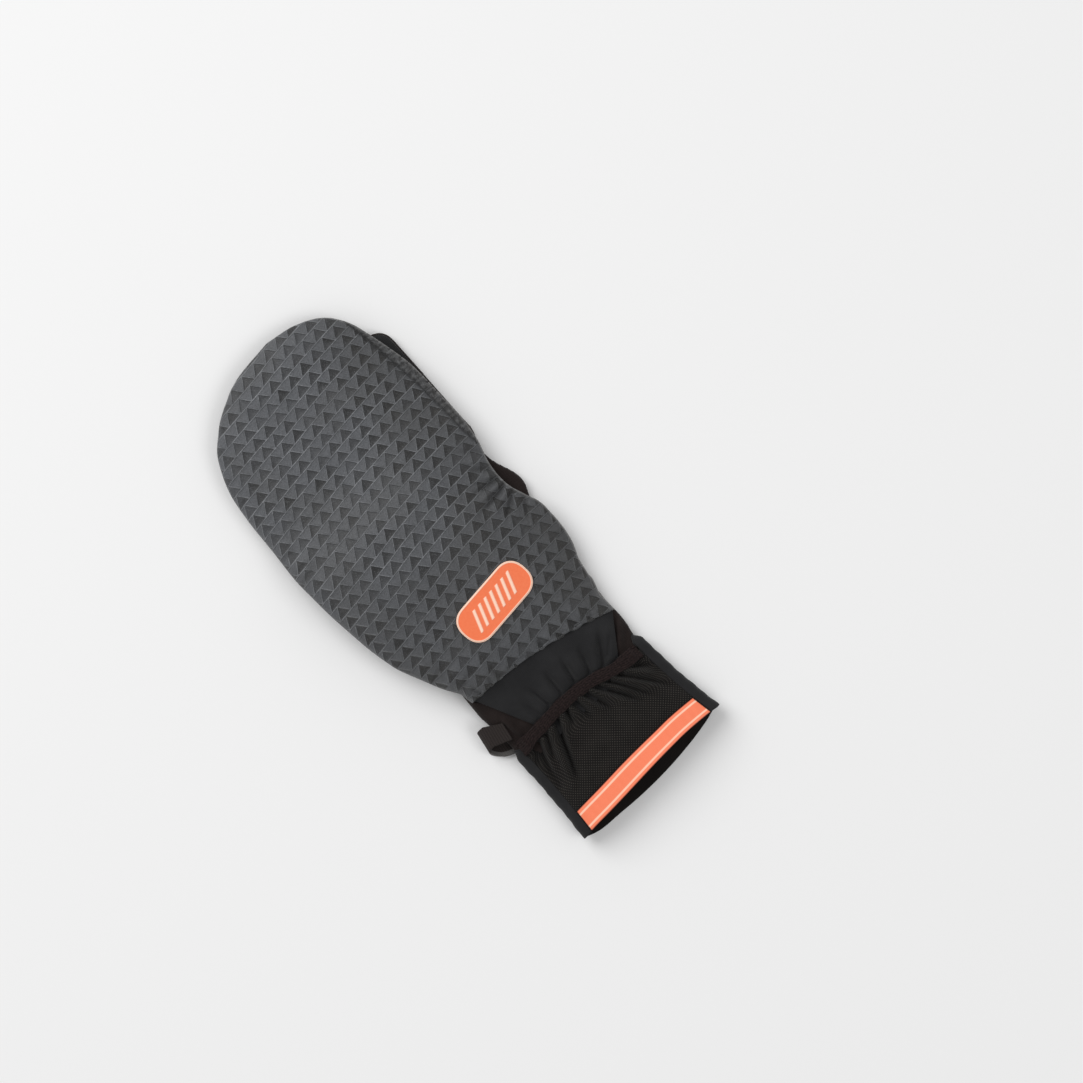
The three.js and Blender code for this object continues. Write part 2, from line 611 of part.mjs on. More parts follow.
// The pocket panel lies on the hand's back, from the binding to the hood's base seam, and is gathered. Its edges
// are shares of the half wrist.
const pocketLeft = { foot: -0.6, top: -0.94 };
const pocketRight = { foot: 0.54, top: 0.92 };
function pocketRise(x, share, up) {
  let ridge = 0;
  for (const fold of pocketFolds) {
    const line = (wristWidth / 2) * mix(fold.foot, fold.top, up);
    ridge += fold.height * Math.exp(-(((x - line) / pocketFoldWidth) ** 2));
  }
  const folds = pocketFoldHeight * Math.min(ridge, 1) * (1 - smooth(0.45, 0.85, up));
  return (folds + pocketPuff * (1 - share ** 2) * (1 - smooth(0.6, 1, up))) * smooth(0.12, 0.3, up);
}
function pocketFace(lift) {
  return (u, v) => {
    const share = mix(-1, 1, u);
    const footX = (wristWidth / 2) * mix(pocketLeft.foot, pocketRight.foot, u);
    const topX = (wristWidth / 2) * mix(pocketLeft.top, pocketRight.top, u);
    const foot = Math.max(bindingY(footX) + seamGap, wristY + 2 * seamGap);
    const y = mix(foot, baseSeamY - seamGap + seamSlant(share), v);
    const x = mix(footX, topX, v);
    return new THREE.Vector3(x, y, handTop(x, y) + 2 * seamGap + lift + pocketRise(x, share, v));
  };
}

// The wrist binding, a narrow domed elastic over the ends of the mesh and the pocket panel.
const bindingY = (x) => wristY + bindingWidth * read(bindingRows, (2 * x) / wristWidth, "x", "y");
function bindingFace(top) {
  return (u, v) => {
    const x = (wristWidth / 2) * mix(bindingRows[0].x, bindingRows.at(-1).x, u);
    const across = mix(-1, 1, v);
    const y = bindingY(x) + (bindingWidth / 2) * across;
    const onCuff = cuffBackTop(x, Math.min(y, wristY));
    const onPocket = handTop(x, Math.max(y, wristY)) + 2.5 * seamGap + clothWall;
    const base = Math.max(onCuff, onPocket) + seamGap;
    const round = bindingThickness * Math.sqrt(1 - 0.85 * across ** 2);
    return new THREE.Vector3(x, y, base + (top ? round : 0));
  };
}

// The patch, a rounded plate that follows the hood's back, a little turned.
const patchY = wristY + patchPlace;
const patchTurn = THREE.MathUtils.degToRad(3.5);
function patchFace(lift) {
  return (u, v) => {
    const angle = mix(-Math.PI / 2, Math.PI / 2, v);
    const power = 2 / 3.4;
    const long = (patchLength / 2) * Math.sign(angle) * Math.abs(Math.sin(angle)) ** power;
    const wide = (patchWidth / 2) * Math.max(Math.cos(angle), 0) ** power * mix(1, -1, u);
    const x = long * Math.cos(patchTurn) - wide * Math.sin(patchTurn);
    const y = patchY + long * Math.sin(patchTurn) + wide * Math.cos(patchTurn);
    const [left, right] = hoodEdges(y);
    const share = (2 * x - left - right) / (right - left);
    return new THREE.Vector3(x, y, hoodBackZ(share, x, y) + seamGap + lift);
  };
}

// The side tab, a webbing loop that stands out from the wrist's thumb side. v runs from the upper leg's root
// round the fold to the lower leg's root, which is set towards the cuff.
const tabLean = 0.2; // how the fold slants
const tabRoot = 6; // how far the legs run in under the wrist's side
function tabFace(outside) {
  return (u, v) => {
    const turn = mix(Math.PI / 2, -Math.PI / 2, THREE.MathUtils.clamp((v - 0.25) * 2, 0, 1));
    const leg = Math.max(0.25 - v, v - 0.75, 0) * 4;
    const grow = outside ? tabThickness / 2 : -tabThickness / 2;
    const reach = (tabReach - tabHeight / 2) * (1 - leg) + (tabHeight / 2 + grow) * Math.cos(turn) - tabRoot * leg;
    const across = (tabWidth / 2) * mix(-1, 1, u);
    const slide = tabDrop * smooth(0.45, 1, v) + (v < 0.5 ? 0.3 * tabDrop * leg : 0);
    const x = -wristWidth / 2 - reach + tabLean * across;
    return new THREE.Vector3(x, wristY + tabPlace - slide + across, tabRise + (tabHeight / 2 + grow) * Math.sin(turn));
  };
}

const group = new THREE.Group();
function add(name, geometry, color, roughness) {
  const material = new THREE.MeshStandardMaterial({ color, roughness, metalness: 0 });
  const mesh = new THREE.Mesh(geometry, material);
  mesh.name = name;
  group.add(mesh);
}

const hollow = handSolid(clothWall, 4 * seamGap);
const handShell = handSolid(0, 0).subtract(hollow);
const thumbHollow = thumbSolid(clothWall, thumbRootY - thumbWidth);
const grownHand = handSolid(-seamGap, seamGap);
add("hand_back", geometryOf(handShell.intersect(seamSide(1))), 0x262525, 0.9);
add("hand_palm", geometryOf(handShell.intersect(seamSide(-1)).subtract(thumbHollow)), 0x2c2624, 0.92);
const thumbShell = thumbSolid(0, thumbRootY - 0.6 * thumbWidth).subtract(thumbHollow);
add("thumb", geometryOf(thumbShell.subtract(grownHand)), 0x2c2624, 0.92);
// How many cells each face has, across and along.
const hoodCells = [18, hoodSteps.length - 1];
const palmCells = [palmColumns.length - 1, palmRows.length - 1];
const pocketCells = [24, 6];
const bindingCells = [14, 3];
const meshCells = [28, 7];
const cuffPalmCells = [8, 4];
const stripCells = [8, 5];
const bandCells = [14, 1];
const patchCells = [4, 12];
const tabCells = [1, 16];
add("hood_back", sheetGeometry(hoodBack, hoodInside(hoodBack, 1), ...hoodCells), 0x4a4a4d, 0.75);
add("hood_palm", sheetGeometry(hoodPalm, hoodInside(hoodPalm, -1), ...palmCells), 0x38373a, 0.9);
add("pocket_panel", sheetGeometry(pocketFace(clothWall), pocketFace(0), ...pocketCells), 0x262525, 0.9);
add("wrist_binding", sheetGeometry(bindingFace(true), bindingFace(false), ...bindingCells), 0x2b2321, 0.85);
add("cuff_mesh", sheetGeometry(cuffMesh, inward(cuffMesh, clothWall), ...meshCells), 0x262321, 0.95);
add("cuff_palm", sheetGeometry(cuffPalm, inward(cuffPalm, clothWall), ...cuffPalmCells), 0x24211f, 0.95);
const [thumbStrip, littleStrip] = [cuffStrip(-1), cuffStrip(1)];
const thumbStripInside = inward(thumbStrip, clothWall, -1);
add("cuff_strip_thumb_side", sheetGeometry(thumbStrip, thumbStripInside, ...stripCells), 0x252523, 0.9);
const littleStripInside = inward(littleStrip, clothWall);
add("cuff_strip_little_side", sheetGeometry(littleStrip, littleStripInside, ...stripCells), 0x252523, 0.9);
const bandTop = bandFace(seamGap + bandThickness);
add("reflective_band", sheetGeometry(bandTop, bandFace(seamGap), ...bandCells), 0xfb8d68, 0.5);
add("patch", sheetGeometry(patchFace(patchThickness), patchFace(0), ...patchCells), 0xf06e3c, 0.55);
const tab = solidOf(sheetGeometry(tabFace(true), tabFace(false), ...tabCells));
add("side_tab", geometryOf(tab.subtract(grownHand)), 0x262021, 0.85);

export default group;
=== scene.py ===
import bmesh
import bpy
import numpy as np
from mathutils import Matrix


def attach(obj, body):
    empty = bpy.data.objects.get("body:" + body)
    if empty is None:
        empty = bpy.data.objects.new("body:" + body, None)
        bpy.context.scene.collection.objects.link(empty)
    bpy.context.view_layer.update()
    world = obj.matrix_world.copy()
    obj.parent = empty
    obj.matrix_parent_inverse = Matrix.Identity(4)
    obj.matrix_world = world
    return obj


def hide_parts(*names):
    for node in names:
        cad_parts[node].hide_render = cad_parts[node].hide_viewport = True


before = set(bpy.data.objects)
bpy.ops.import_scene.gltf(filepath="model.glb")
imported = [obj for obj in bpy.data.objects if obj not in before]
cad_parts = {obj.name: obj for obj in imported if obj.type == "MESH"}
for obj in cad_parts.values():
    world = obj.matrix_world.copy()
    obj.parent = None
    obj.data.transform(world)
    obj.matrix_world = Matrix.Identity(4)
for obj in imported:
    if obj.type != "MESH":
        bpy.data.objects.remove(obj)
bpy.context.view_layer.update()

# The view and the light: the glove lies on a pale table and is seen from straight above, turned as in the
# photograph, through a long lens. The light is a studio's soft one, a little stronger from the cuff's side.
MM = 0.001  # every size below is in millimetres
view_centre = (36.2, 115.0)
view_width = 515.7
view_turn = np.radians(-43.5)
view_level = 12.0  # the height over the table at which the width is measured
lens_length, sensor_width = 135.0, 36.0


def shown(name, data):
    """An object of that name in the scene."""
    thing = bpy.data.objects.new(name, data)
    bpy.context.collection.objects.link(thing)
    return thing


camera = bpy.data.cameras.new("camera")
camera.lens, camera.sensor_width = lens_length, sensor_width
camera.clip_start, camera.clip_end = 0.05, 20.0
viewer = shown("camera", camera)
viewer.location = (view_centre[0] * MM, view_centre[1] * MM,
                   (view_level + view_width * lens_length / sensor_width) * MM)
viewer.rotation_euler = (0.0, 0.0, view_turn)
bpy.context.scene.camera = viewer
bpy.context.scene.view_settings.view_transform = "Standard"


def paint(red, green, blue):
    """An sRGB colour in 0 to 255 as the linear colour that a shader takes."""
    share = np.array([red, green, blue]) / 255.0
    linear = np.where(share <= 0.04045, share / 12.92, ((share + 0.055) / 1.055) ** 2.4)
    return (*linear.tolist(), 1.0)


table_half = 1500.0
corners = [(x * table_half * MM, y * table_half * MM, 0) for x, y in ((-1, -1), (1, -1), (1, 1), (-1, 1))]
table = bpy.data.meshes.new("table")
table.from_pydata(corners, [], [(0, 1, 2, 3)])
table_top = shown("table", table)
table_paint = bpy.data.materials.new("pale table")
table_paint.use_nodes = True
for socket, value in (("Base Color", paint(239, 239, 239)), ("Roughness", 0.9), ("Specular IOR Level", 0.1)):
    table_paint.node_tree.nodes["Principled BSDF"].inputs[socket].default_value = value
table.materials.append(table_paint)

sky = bpy.data.worlds.new("studio")
sky.use_nodes = True
sky.node_tree.nodes["Background"].inputs["Color"].default_value = (1.0, 1.0, 1.0, 1.0)
sky.node_tree.nodes["Background"].inputs["Strength"].default_value = 0.5
bpy.context.scene.world = sky
for lamp_name, place, size, watts in (("key light", (-300, 2100, 1900), 2200, 47.0),
                                      ("fill light", (900, -1500, 2200), 1500, 16.0)):
    lamp = bpy.data.lights.new(lamp_name, "AREA")
    lamp.shape, lamp.size, lamp.energy = "DISK", size * MM, watts
    holder = shown(lamp_name, lamp)
    holder.location = [MM * c for c in place]
    aim = np.array([view_centre[0] * 0.2, view_centre[1], 0.0]) - np.array(place, float)
    yaw, tilt = np.arctan2(aim[1], aim[0]), np.arccos(-aim[2] / np.linalg.norm(aim))
    holder.rotation_euler = (tilt, 0.0, yaw - np.pi / 2)

# The glove inside the hood: a softshell back and a brown-black knitted palm, each cut with its four
# fingers and sewn together round the edge. The thumb is a tube of its own, tucked under the palm.
wrist_y, palm_length = 50.0, 133.0
wrist_width, wrist_height = 84.0, 13.0
palm_height = 15.0
finger_pitch, finger_width = 25.7, 21.0
cloth_wall, seam_gap = 1.3, 0.3
crotch_y = wrist_y + palm_length
hand_width = 4 * finger_pitch
middle_length = 81.0
little_length, little_width, little_height = 60.0, 23.6, 7.4
thumb_length, thumb_width, thumb_height = 77.0, 23.0, 7.6
thumb_root_y = wrist_y + 36.0
thumb_tip_y = thumb_root_y + thumb_length
thumb_x = -1.13 * finger_pitch
hood_layer = 2.0  # the hood's wall and the room under it

# along the palm, left edge, right edge, how far the width is the wrist's
hand_rows = [
    (0, -0.5, 0.44, 1), (0.075, -0.5, 0.467, 1), (0.18, -0.512, 0.47, 1), (0.286, -0.498, 0.476, 1),
    (0.376, -0.476, 0.444, 0.5), (0.489, -0.486, 0.423, 0), (0.586, -0.525, 0.438, 0),
    (0.639, -0.54, 0.462, 0), (0.699, -0.55, 0.492, 0), (0.752, -0.554, 0.48, 0), (0.805, -0.554, 0.455, 0),
    (0.865, -0.554, 0.4445, 0), (0.94, -0.545, 0.462, 0), (1.02, -0.53, 0.477, 0),
]
# along the palm, thickness as a share of the palm's
height_rows = [
    (0, 0.73), (0.15, 0.8), (0.3, 0.9), (0.45, 0.97), (0.6, 1), (0.75, 0.97), (0.9, 0.9), (1, 0.83),
    (1.15, 0.79), (1.35, 0.74), (1.7, 0.66),
]
# place in pitches from the middle, length, lean, width, whether it lies flat outside the pouch
finger_rows = [
    (-1.55, 73, 0.134, finger_width, 0), (-0.55, middle_length, 0.062, finger_width, 0),
    (0.45, 75, 0.005, finger_width, 0), (1.45, little_length + 0.6, 0.062, little_width, 1),
]


def mix(a, b, share):
    """The value that lies at a share of the way from a to b."""
    return a + (b - a) * share


def grid(x, y, z):
    """The points of a surface, from whole arrays or from a row or column of them."""
    return np.stack(np.broadcast_arrays(x, y, z), -1)


def smooth(low, high, value):
    """0 below low, 1 above high, and 3t^2 - 2t^3 between them."""
    t = np.clip((value - low) / (high - low), 0, 1)
    return t * t * (3 - 2 * t)


def read(rows, place, column):
    """One column of a table at a place: a cubic between two rows, with each row's slope taken from its
    neighbours."""
    table = np.array(rows, float)
    at, value = table[:, 0], table[:, column]
    slope = np.gradient(value, at)
    place = np.clip(place, at[0], at[-1])
    i = np.clip(np.searchsorted(at, place, side="right") - 1, 0, len(at) - 2)
    width = at[i + 1] - at[i]
    t = (place - at[i]) / width
    rise = mix(value[i], value[i + 1], smooth(0, 1, t))
    return rise + width * (slope[i] * t * (1 - t) ** 2 - slope[i + 1] * t * t * (1 - t))


dome_power, flat_share, flat_turn = 2.4, 0.82, 0.6
edge_share = 0.42  # the height of a side edge in the piece's own thickness


def dome_rise(share):
    """The height of a dome over a share of its half width: (1 - |share|^2.4)^(1/2.4)."""
    return np.clip(1 - np.abs(share) ** dome_power, 0, 1) ** (1 / dome_power)


def dome_at(angle):
    """The share of the half width and the rise of the dome, at an angle from its top."""
    share = np.sign(angle) * np.abs(np.sin(angle)) ** (2 / dome_power)
    return share, np.clip(np.cos(angle), 0, 1) ** (2 / dome_power)


def section(sides):
    """Once round a flat tube: the dome above from right to left, then the flat underside with its round
    corners. Gives the share of the half width, and the rise, which is negative below the edge."""
    over, over_rise = dome_at(np.linspace(np.pi / 2, -np.pi / 2, sides + 1))
    w = np.linspace(-1, 1, sides + 1)[1:-1]
    turn = np.clip((np.abs(w) - flat_turn) / (1 - flat_turn), 0, 1) * np.pi / 2
    under = np.where(np.abs(w) < flat_turn, flat_share * w / flat_turn,
                     np.sign(w) * (flat_share + (1 - flat_share) * np.sin(turn)))
    return np.concatenate([over, under]), np.concatenate([over_rise, -np.cos(turn)])


def thumb_lift(x, y):
    """How far the thumb holds the palm off the table, less of it on the little finger's side."""
    rise = smooth(thumb_root_y - 0.6 * thumb_width, thumb_root_y + 0.45 * thumb_width, y)
    fall = 1 - smooth(thumb_tip_y + 0.1 * thumb_width, thumb_tip_y + 1.8 * thumb_width, y)
    edge = thumb_x + thumb_width / 2
    side = mix(1, 0.1, smooth(edge + 0.1 * thumb_width, edge + 1.9 * thumb_width, x))
    return (thumb_height + 1.5 * seam_gap) * rise * fall * side


ring_edge = 0.45 * finger_pitch + finger_width / 2 + 2 * seam_gap
little_edge = 1.45 * finger_pitch - 0.37 * little_width


def side_start(y):
    """0 at the wrist and 1 from the knuckles on."""
    return smooth(crotch_y - 0.6 * palm_length, crotch_y - 0.38 * palm_length, y)


def little_side(x, y):
    """How far a place belongs to the little finger, which lies on the table beside the pouch."""
    ease = 0.35 * finger_pitch
    return smooth(ring_edge - ease, little_edge + ease, x) * side_start(y)


def lifted(y):
    """How far the fingers in the pouch lie on its palm panel."""
    mouth = crotch_y - 1.3 * finger_pitch
    return (hood_layer + seam_gap) * smooth(mouth - finger_pitch, mouth - 0.1 * finger_pitch, y)


def body_height(y):
    """How thick the hand is along the glove: the wrist's height, then the palm's shares."""
    own = palm_height * read(height_rows, (y - wrist_y) / palm_length, 1)
    return mix(own, wrist_height - 2 * seam_gap - cloth_wall, 1 - smooth(wrist_y, wrist_y + 28, y))


def edges_of(rows, along, full_width):
    """The left and right edge from a table, whose shares are of a width that goes over to the wrist's."""
    width = mix(full_width, wrist_width, np.clip(read(rows, along, 3), 0, 1))
    return width * read(rows, along, 1), width * read(rows, along, 2)


def hand_edges(y):
    """The left and right edge of the hand at y."""
    return edges_of(hand_rows, (y - wrist_y) / palm_length, hand_width)


def hand_under(x, y):
    """The level of the hand's underside."""
    return thumb_lift(x, y) + lifted(y) * (1 - little_side(x, y))


def hand_height(x, y):
    """How thick the hand is at a place."""
    return mix(body_height(y), little_height + seam_gap, little_side(x, y))


def hand_top(x, y):
    """The level of the back of the hand: its underside, plus its thickness times the dome over its width."""
    left, right = hand_edges(y)
    share = np.clip((2 * x - left - right) / (right - left), -1, 1)
    return hand_under(x, y) + hand_height(x, y) * mix(edge_share, 1, dome_rise(share))


def creases(x, y, rows):
    """Folds along straight lines: each is a bell of its width across its line, at full height over the first
    0.45 of the line and run out at its end."""
    total = 0.0
    for start_x, start_y, end_x, end_y, width, height in rows:
        run = np.array([end_x - start_x, end_y - start_y])
        along = np.clip(((x - start_x) * run[0] + (y - start_y) * run[1]) / (run @ run), 0, 1)
        away = (x - start_x - along * run[0]) ** 2 + (y - start_y - along * run[1]) ** 2
        total = total + height * np.exp(-away / width ** 2) * (1 - smooth(0.45, 1, along))
    return total


def tube_faces(rows, columns, start):
    """The faces of a closed tube of rings, with one wide face over each end."""
    i = np.arange(rows * columns).reshape(rows, columns) + start
    j = np.roll(i, -1, axis=1)
    sides = np.stack([i[:-1], i[1:], j[1:], j[:-1]], -1).reshape(-1, 4).tolist()
    return sides + [i[0].tolist(), i[-1][::-1].tolist()]


def rows_to_tip(plain, fine, share=0.2):
    """Shares along a piece, evenly spaced up to the tip's share of it and then closer and closer
    together."""
    near_tip = 1 - share * np.linspace(1, 0, fine)[1:] ** 2
    return np.concatenate([np.linspace(0, 1 - share, plain), near_tip])[:, None]


def piece_of(name, points, faces):
    """A mesh object over points in millimetres, with smooth faces."""
    mesh = bpy.data.meshes.new(name)
    mesh.from_pydata((np.asarray(points).reshape(-1, 3) * MM).tolist(), [], faces)
    mesh.shade_smooth()
    return shown(name, mesh)


def spots_of(mesh):
    """The points of a mesh, in millimetres."""
    spots = np.empty(len(mesh.vertices) * 3)
    mesh.vertices.foreach_get("co", spots)
    return spots.reshape(-1, 3) / MM


def move_to(mesh, spots):
    """Puts the points of a mesh at other places, in millimetres."""
    mesh.vertices.foreach_set("co", (spots * MM).ravel())


def walled(piece, wall):
    """Gives a surface its cloth's thickness, inwards from its face."""
    shell = piece.modifiers.new("cloth", "SOLIDIFY")
    shell.thickness, shell.offset, shell.use_even_offset = wall * MM, -1.0, False


around, around_rise = section(48)
# The part of the thickness that lies over the side edge, or under it
around_part = np.where(around_rise > 0, 1 - edge_share, edge_share)
shells, shell_faces = [], []
along = np.linspace(-0.09, 1.02, 66)[:, None]
y = wrist_y + along * palm_length
left, right = hand_edges(y)
x = (left + right) / 2 + (right - left) / 2 * around
thick = around_part * hand_height(x, y)
palm_points = grid(x, y, hand_under(x, y) + edge_share * hand_height(x, y) + thick * around_rise)
shell_faces += tube_faces(*palm_points.shape[:2], 0)
shells.append(palm_points.reshape(-1, 3))
for place, length, lean, width, flat in finger_rows:
    start_y = crotch_y - finger_pitch / 2
    reach = rows_to_tip(24, 18)
    y = mix(start_y, crotch_y + length, reach)
    out = np.clip((y - crotch_y) / length, 0, 1)
    into = np.clip((y - crotch_y - length + 0.5 * width) / (0.5 * width), 0, 1)
    tip = np.clip(1 - into ** 2.9, 0.002, 1) ** 0.5 * mix(0.8, 1, smooth(0, 0.1, reach))
    half = (width / 2 + 0.5 * flat) * mix(1, 0.87, out) * tip
    x = place * finger_pitch + lean * length * out + half * around
    full = mix(body_height(y), little_height + seam_gap, flat)
    slim = full * mix(0.88, 1, flat) * tip * around_part
    edge = thumb_lift(x, y) + lifted(y) * (1 - flat) + edge_share * full
    finger_points = grid(x, y, edge + slim * around_rise)
    shell_faces += tube_faces(*finger_points.shape[:2], sum(map(len, shells)))
    shells.append(finger_points.reshape(-1, 3))

body = piece_of("glove_form", np.concatenate(shells), shell_faces)
joined = body.modifiers.new("one skin", "REMESH")
joined.mode, joined.voxel_size = "VOXEL", 1.1 * MM
eased = body.modifiers.new("eased", "SMOOTH")
eased.factor, eased.iterations = 0.5, 5
body.data = bpy.data.meshes.new_from_object(body.evaluated_get(bpy.context.evaluated_depsgraph_get()))
body.modifiers.clear()

# Folds of the palm's cloth round the wrist: start x, y, end x, y, width, height
wrist_folds = [
    (-37.9, 66, -35.6, 51, 1.3, -1.5), (-36, 65, -33.5, 51, 1.5, 1.2), (-40.5, 62, -38.5, 51, 1.5, 1.0),
    (-33, 60, -30, 51, 1.2, -1.0), (38, 66, 23, 51, 1.3, -1.4), (37.5, 62.5, 26, 50, 1.6, 1.2),
    (37, 57, 29, 49, 1.2, -1.0),
]
points = spots_of(body.data)
level = (points[:, 2] - thumb_lift(points[:, 0], points[:, 1])) / wrist_height
reach_up = smooth(0.45, 0.75, level) * (1 - smooth(64, 72, points[:, 1]))
points[:, 2] += reach_up * creases(points[:, 0], points[:, 1], wrist_folds)
points[:, 2] += (cloth_wall + seam_gap) * (1 - smooth(wrist_y - 3, wrist_y + 3, points[:, 1])) * (1 - level)
move_to(body.data, points)


def seam_level(x, y):
    """The level of the seam between back and palm: high up the wrist's sides, then at the little
    finger's side. By the hood's notch, where the palm's cloth comes up round the edge, it goes over the
    top."""
    wrist = smooth(wrist_y + 0.17 * palm_length, wrist_y + 0.35 * palm_length, y)
    notch = smooth(35, 40, x) * smooth(122, 132, y) * (1 - smooth(174, 184, y))
    return thumb_lift(x, y) + mix(0.82 * wrist_height, 0.7 * little_height, wrist) + 9 * notch


hand_tail = 8.0  # how far the hand's cloth goes on into the cuff


def cut_from(form, name, above):
    """The part of a form over, or under, the seam, with the wrist's end open. The form is let down by
    the seam's level, cut flat, and put back."""
    mesh = form.data.copy()
    mesh.name = name
    spots = spots_of(mesh)
    spots[:, 2] -= seam_level(*spots.T[:2])
    move_to(mesh, spots)
    cut = bmesh.new()
    cut.from_mesh(mesh)
    side = 1 if above else -1
    for point, normal in (((0, 0, side * seam_gap / 2 * MM), (0, 0, side)),
                          ((0, (wrist_y - hand_tail) * MM, 0), (0, 1, 0))):
        bmesh.ops.bisect_plane(cut, geom=cut.verts[:] + cut.edges[:] + cut.faces[:], plane_co=point,
                               plane_no=normal, clear_inner=True, dist=1e-7)
    cut.to_mesh(mesh)
    cut.free()
    spots = spots_of(mesh)
    spots[:, 2] += seam_level(*spots.T[:2])
    move_to(mesh, spots)
    mesh.shade_smooth()
    return shown(name, mesh)


wave_band = 0.314  # a band of the wave texture is this over its scale wide


class Finish:
    """A material and the few nodes that the cloths need. Sizes are in millimetres on the piece."""

    def __init__(self, name, roughness, sheen=0.0, specular=0.5):
        self.material = bpy.data.materials.new(name)
        self.material.use_nodes = True
        self.tree = self.material.node_tree
        self.shader = self.tree.nodes["Principled BSDF"]
        self.shader.inputs["Roughness"].default_value = roughness
        self.shader.inputs["Sheen Weight"].default_value = sheen
        self.shader.inputs["Sheen Roughness"].default_value = 0.5
        self.shader.inputs["Specular IOR Level"].default_value = specular

    def plug(self, socket, value):
        """Links a socket to another node's socket, or sets it to a value."""
        if isinstance(value, bpy.types.NodeSocket):
            self.tree.links.new(value, socket)
        else:
            socket.default_value = value

    def node(self, kind, sockets=(), **settings):
        """Adds a node, with its settings and its sockets."""
        node = self.tree.nodes.new("ShaderNode" + kind)
        for key, value in settings.items():
            setattr(node, key, value)
        for key, value in dict(sockets).items():
            self.plug(node.inputs[key], value)
        return node

    def math(self, operation, *values):
        """One sum on numbers or sockets."""
        return self.node("Math", dict(enumerate(values)), operation=operation).outputs[0]

    def times(self, product, *values):
        """The product of numbers or sockets."""
        for value in values:
            product = self.math("MULTIPLY", product, value)
        return product

    def parts(self, spot):
        """The X, Y and Z of a place."""
        return self.node("SeparateXYZ", {"Vector": spot}).outputs

    def marked(self, name):
        """The number of that name that is stored at the piece's points."""
        return self.node("Attribute", attribute_name=name, attribute_type="GEOMETRY").outputs["Fac"]

    def wave(self, spot, size, way, distortion, **more):
        """Soft bands of a size that follow each other along a way, from 0 to 1."""
        sockets = {"Vector": spot, "Scale": wave_band / size, "Distortion": distortion, **more}
        return self.node("TexWave", sockets, bands_direction=way).outputs["Fac"]

    def place(self):
        """Where a point lies on the piece, in millimetres."""
        spot = self.node("TexCoord").outputs["Object"]
        return self.node("Mapping", {"Vector": spot, "Scale": (1 / MM,) * 3}).outputs[0]

    def on_cloth(self, turn=0.0):
        """Where a point lies on the flat cloth, in millimetres, from its UV map, turned."""
        spot = self.node("UVMap", uv_map="cloth").outputs[0]
        return self.node("Mapping", {"Vector": spot, "Rotation": (0, 0, turn)}).outputs[0]

    def noise(self, spot, size, detail=2.0):
        """Soft noise whose blotches are about size across, from 0 to 1."""
        return self.node("TexNoise", {"Vector": spot, "Scale": 1 / size, "Detail": detail}).outputs["Fac"]

    def blend(self, share, first, second):
        """The colour at a share of the way from the first to the second."""
        mixer = self.node("Mix", data_type="RGBA")
        for socket, value in zip((mixer.inputs[0], mixer.inputs[6], mixer.inputs[7]), (share, first, second)):
            self.plug(socket, value)
        return mixer.outputs[2]

    def between(self, value, low, high, start=0.0, end=1.0):
        """A value taken from low..high to start..end, with soft ends."""
        sockets = {"Value": value, "From Min": low, "From Max": high, "To Min": start, "To Max": end}
        return self.node("MapRange", sockets, interpolation_type="SMOOTHSTEP").outputs[0]

    def finish(self, colour, height, depth):
        """Puts the colour and a bump of that depth in millimetres on the shader, and gives the material."""
        self.plug(self.shader.inputs["Base Color"], colour)
        bump = self.node("Bump", {"Height": height, "Strength": 1.0, "Distance": depth * MM})
        self.plug(self.shader.inputs["Normal"], bump.outputs[0])
        return self.material


def knit(name, light, dark, on_uv, rib=0.9):
    """A plain knitted cloth: two sets of fine ribs across each other, with soft blotches of a darker
    shade."""
    cloth = Finish(name, roughness=0.88, sheen=0.08, specular=0.12)
    spot = cloth.on_cloth() if on_uv else cloth.place()
    weave = cloth.times(*[cloth.wave(spot, rib, way, 0.6, Detail=1.0) for way in "XY"])
    blotch, fleck = cloth.noise(spot, 14.0, 3.0), cloth.noise(spot, 0.7, 1.0)
    shade = cloth.math("ADD", cloth.times(cloth.between(blotch, 0.3, 0.7), 0.55), cloth.times(fleck, 0.45))
    return cloth.finish(cloth.blend(shade, paint(*dark), paint(*light)),
                        cloth.math("ADD", weave, cloth.times(fleck, 0.6)), depth=0.12)


def fit(piece, nodes, material):
    """Puts a finished piece in the place of its solids."""
    piece.data.materials.clear()
    piece.data.materials.append(material)
    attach(piece, "root")
    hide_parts(*nodes)


# The back of the hand: dark grey softshell with a fine knitted face, cut in one with the backs of the four
# fingers and sewn to the palm round the edge.
softshell_light, softshell_dark = (41, 41, 42), (30, 30, 31)
hand_softshell = knit("softshell on the hand", softshell_light, softshell_dark, False)
hand_back = cut_from(body, "back_of_hand", True)
walled(hand_back, cloth_wall)
fit(hand_back, ["hand_back"], hand_softshell)


# The palm of the hand: brown-black knit, cut in one with the fronts of the fingers. At the wrist it comes up
# round the sides in small folds.
palm_light, palm_dark = (41, 34, 32), (26, 20, 19)
hand_knit = knit("palm knit on the hand", palm_light, palm_dark, False, rib=1.1)
hand_palm = cut_from(body, "palm_of_hand", False)
walled(hand_palm, cloth_wall)
fit(hand_palm, ["hand_palm"], hand_knit)
bpy.data.objects.remove(body)


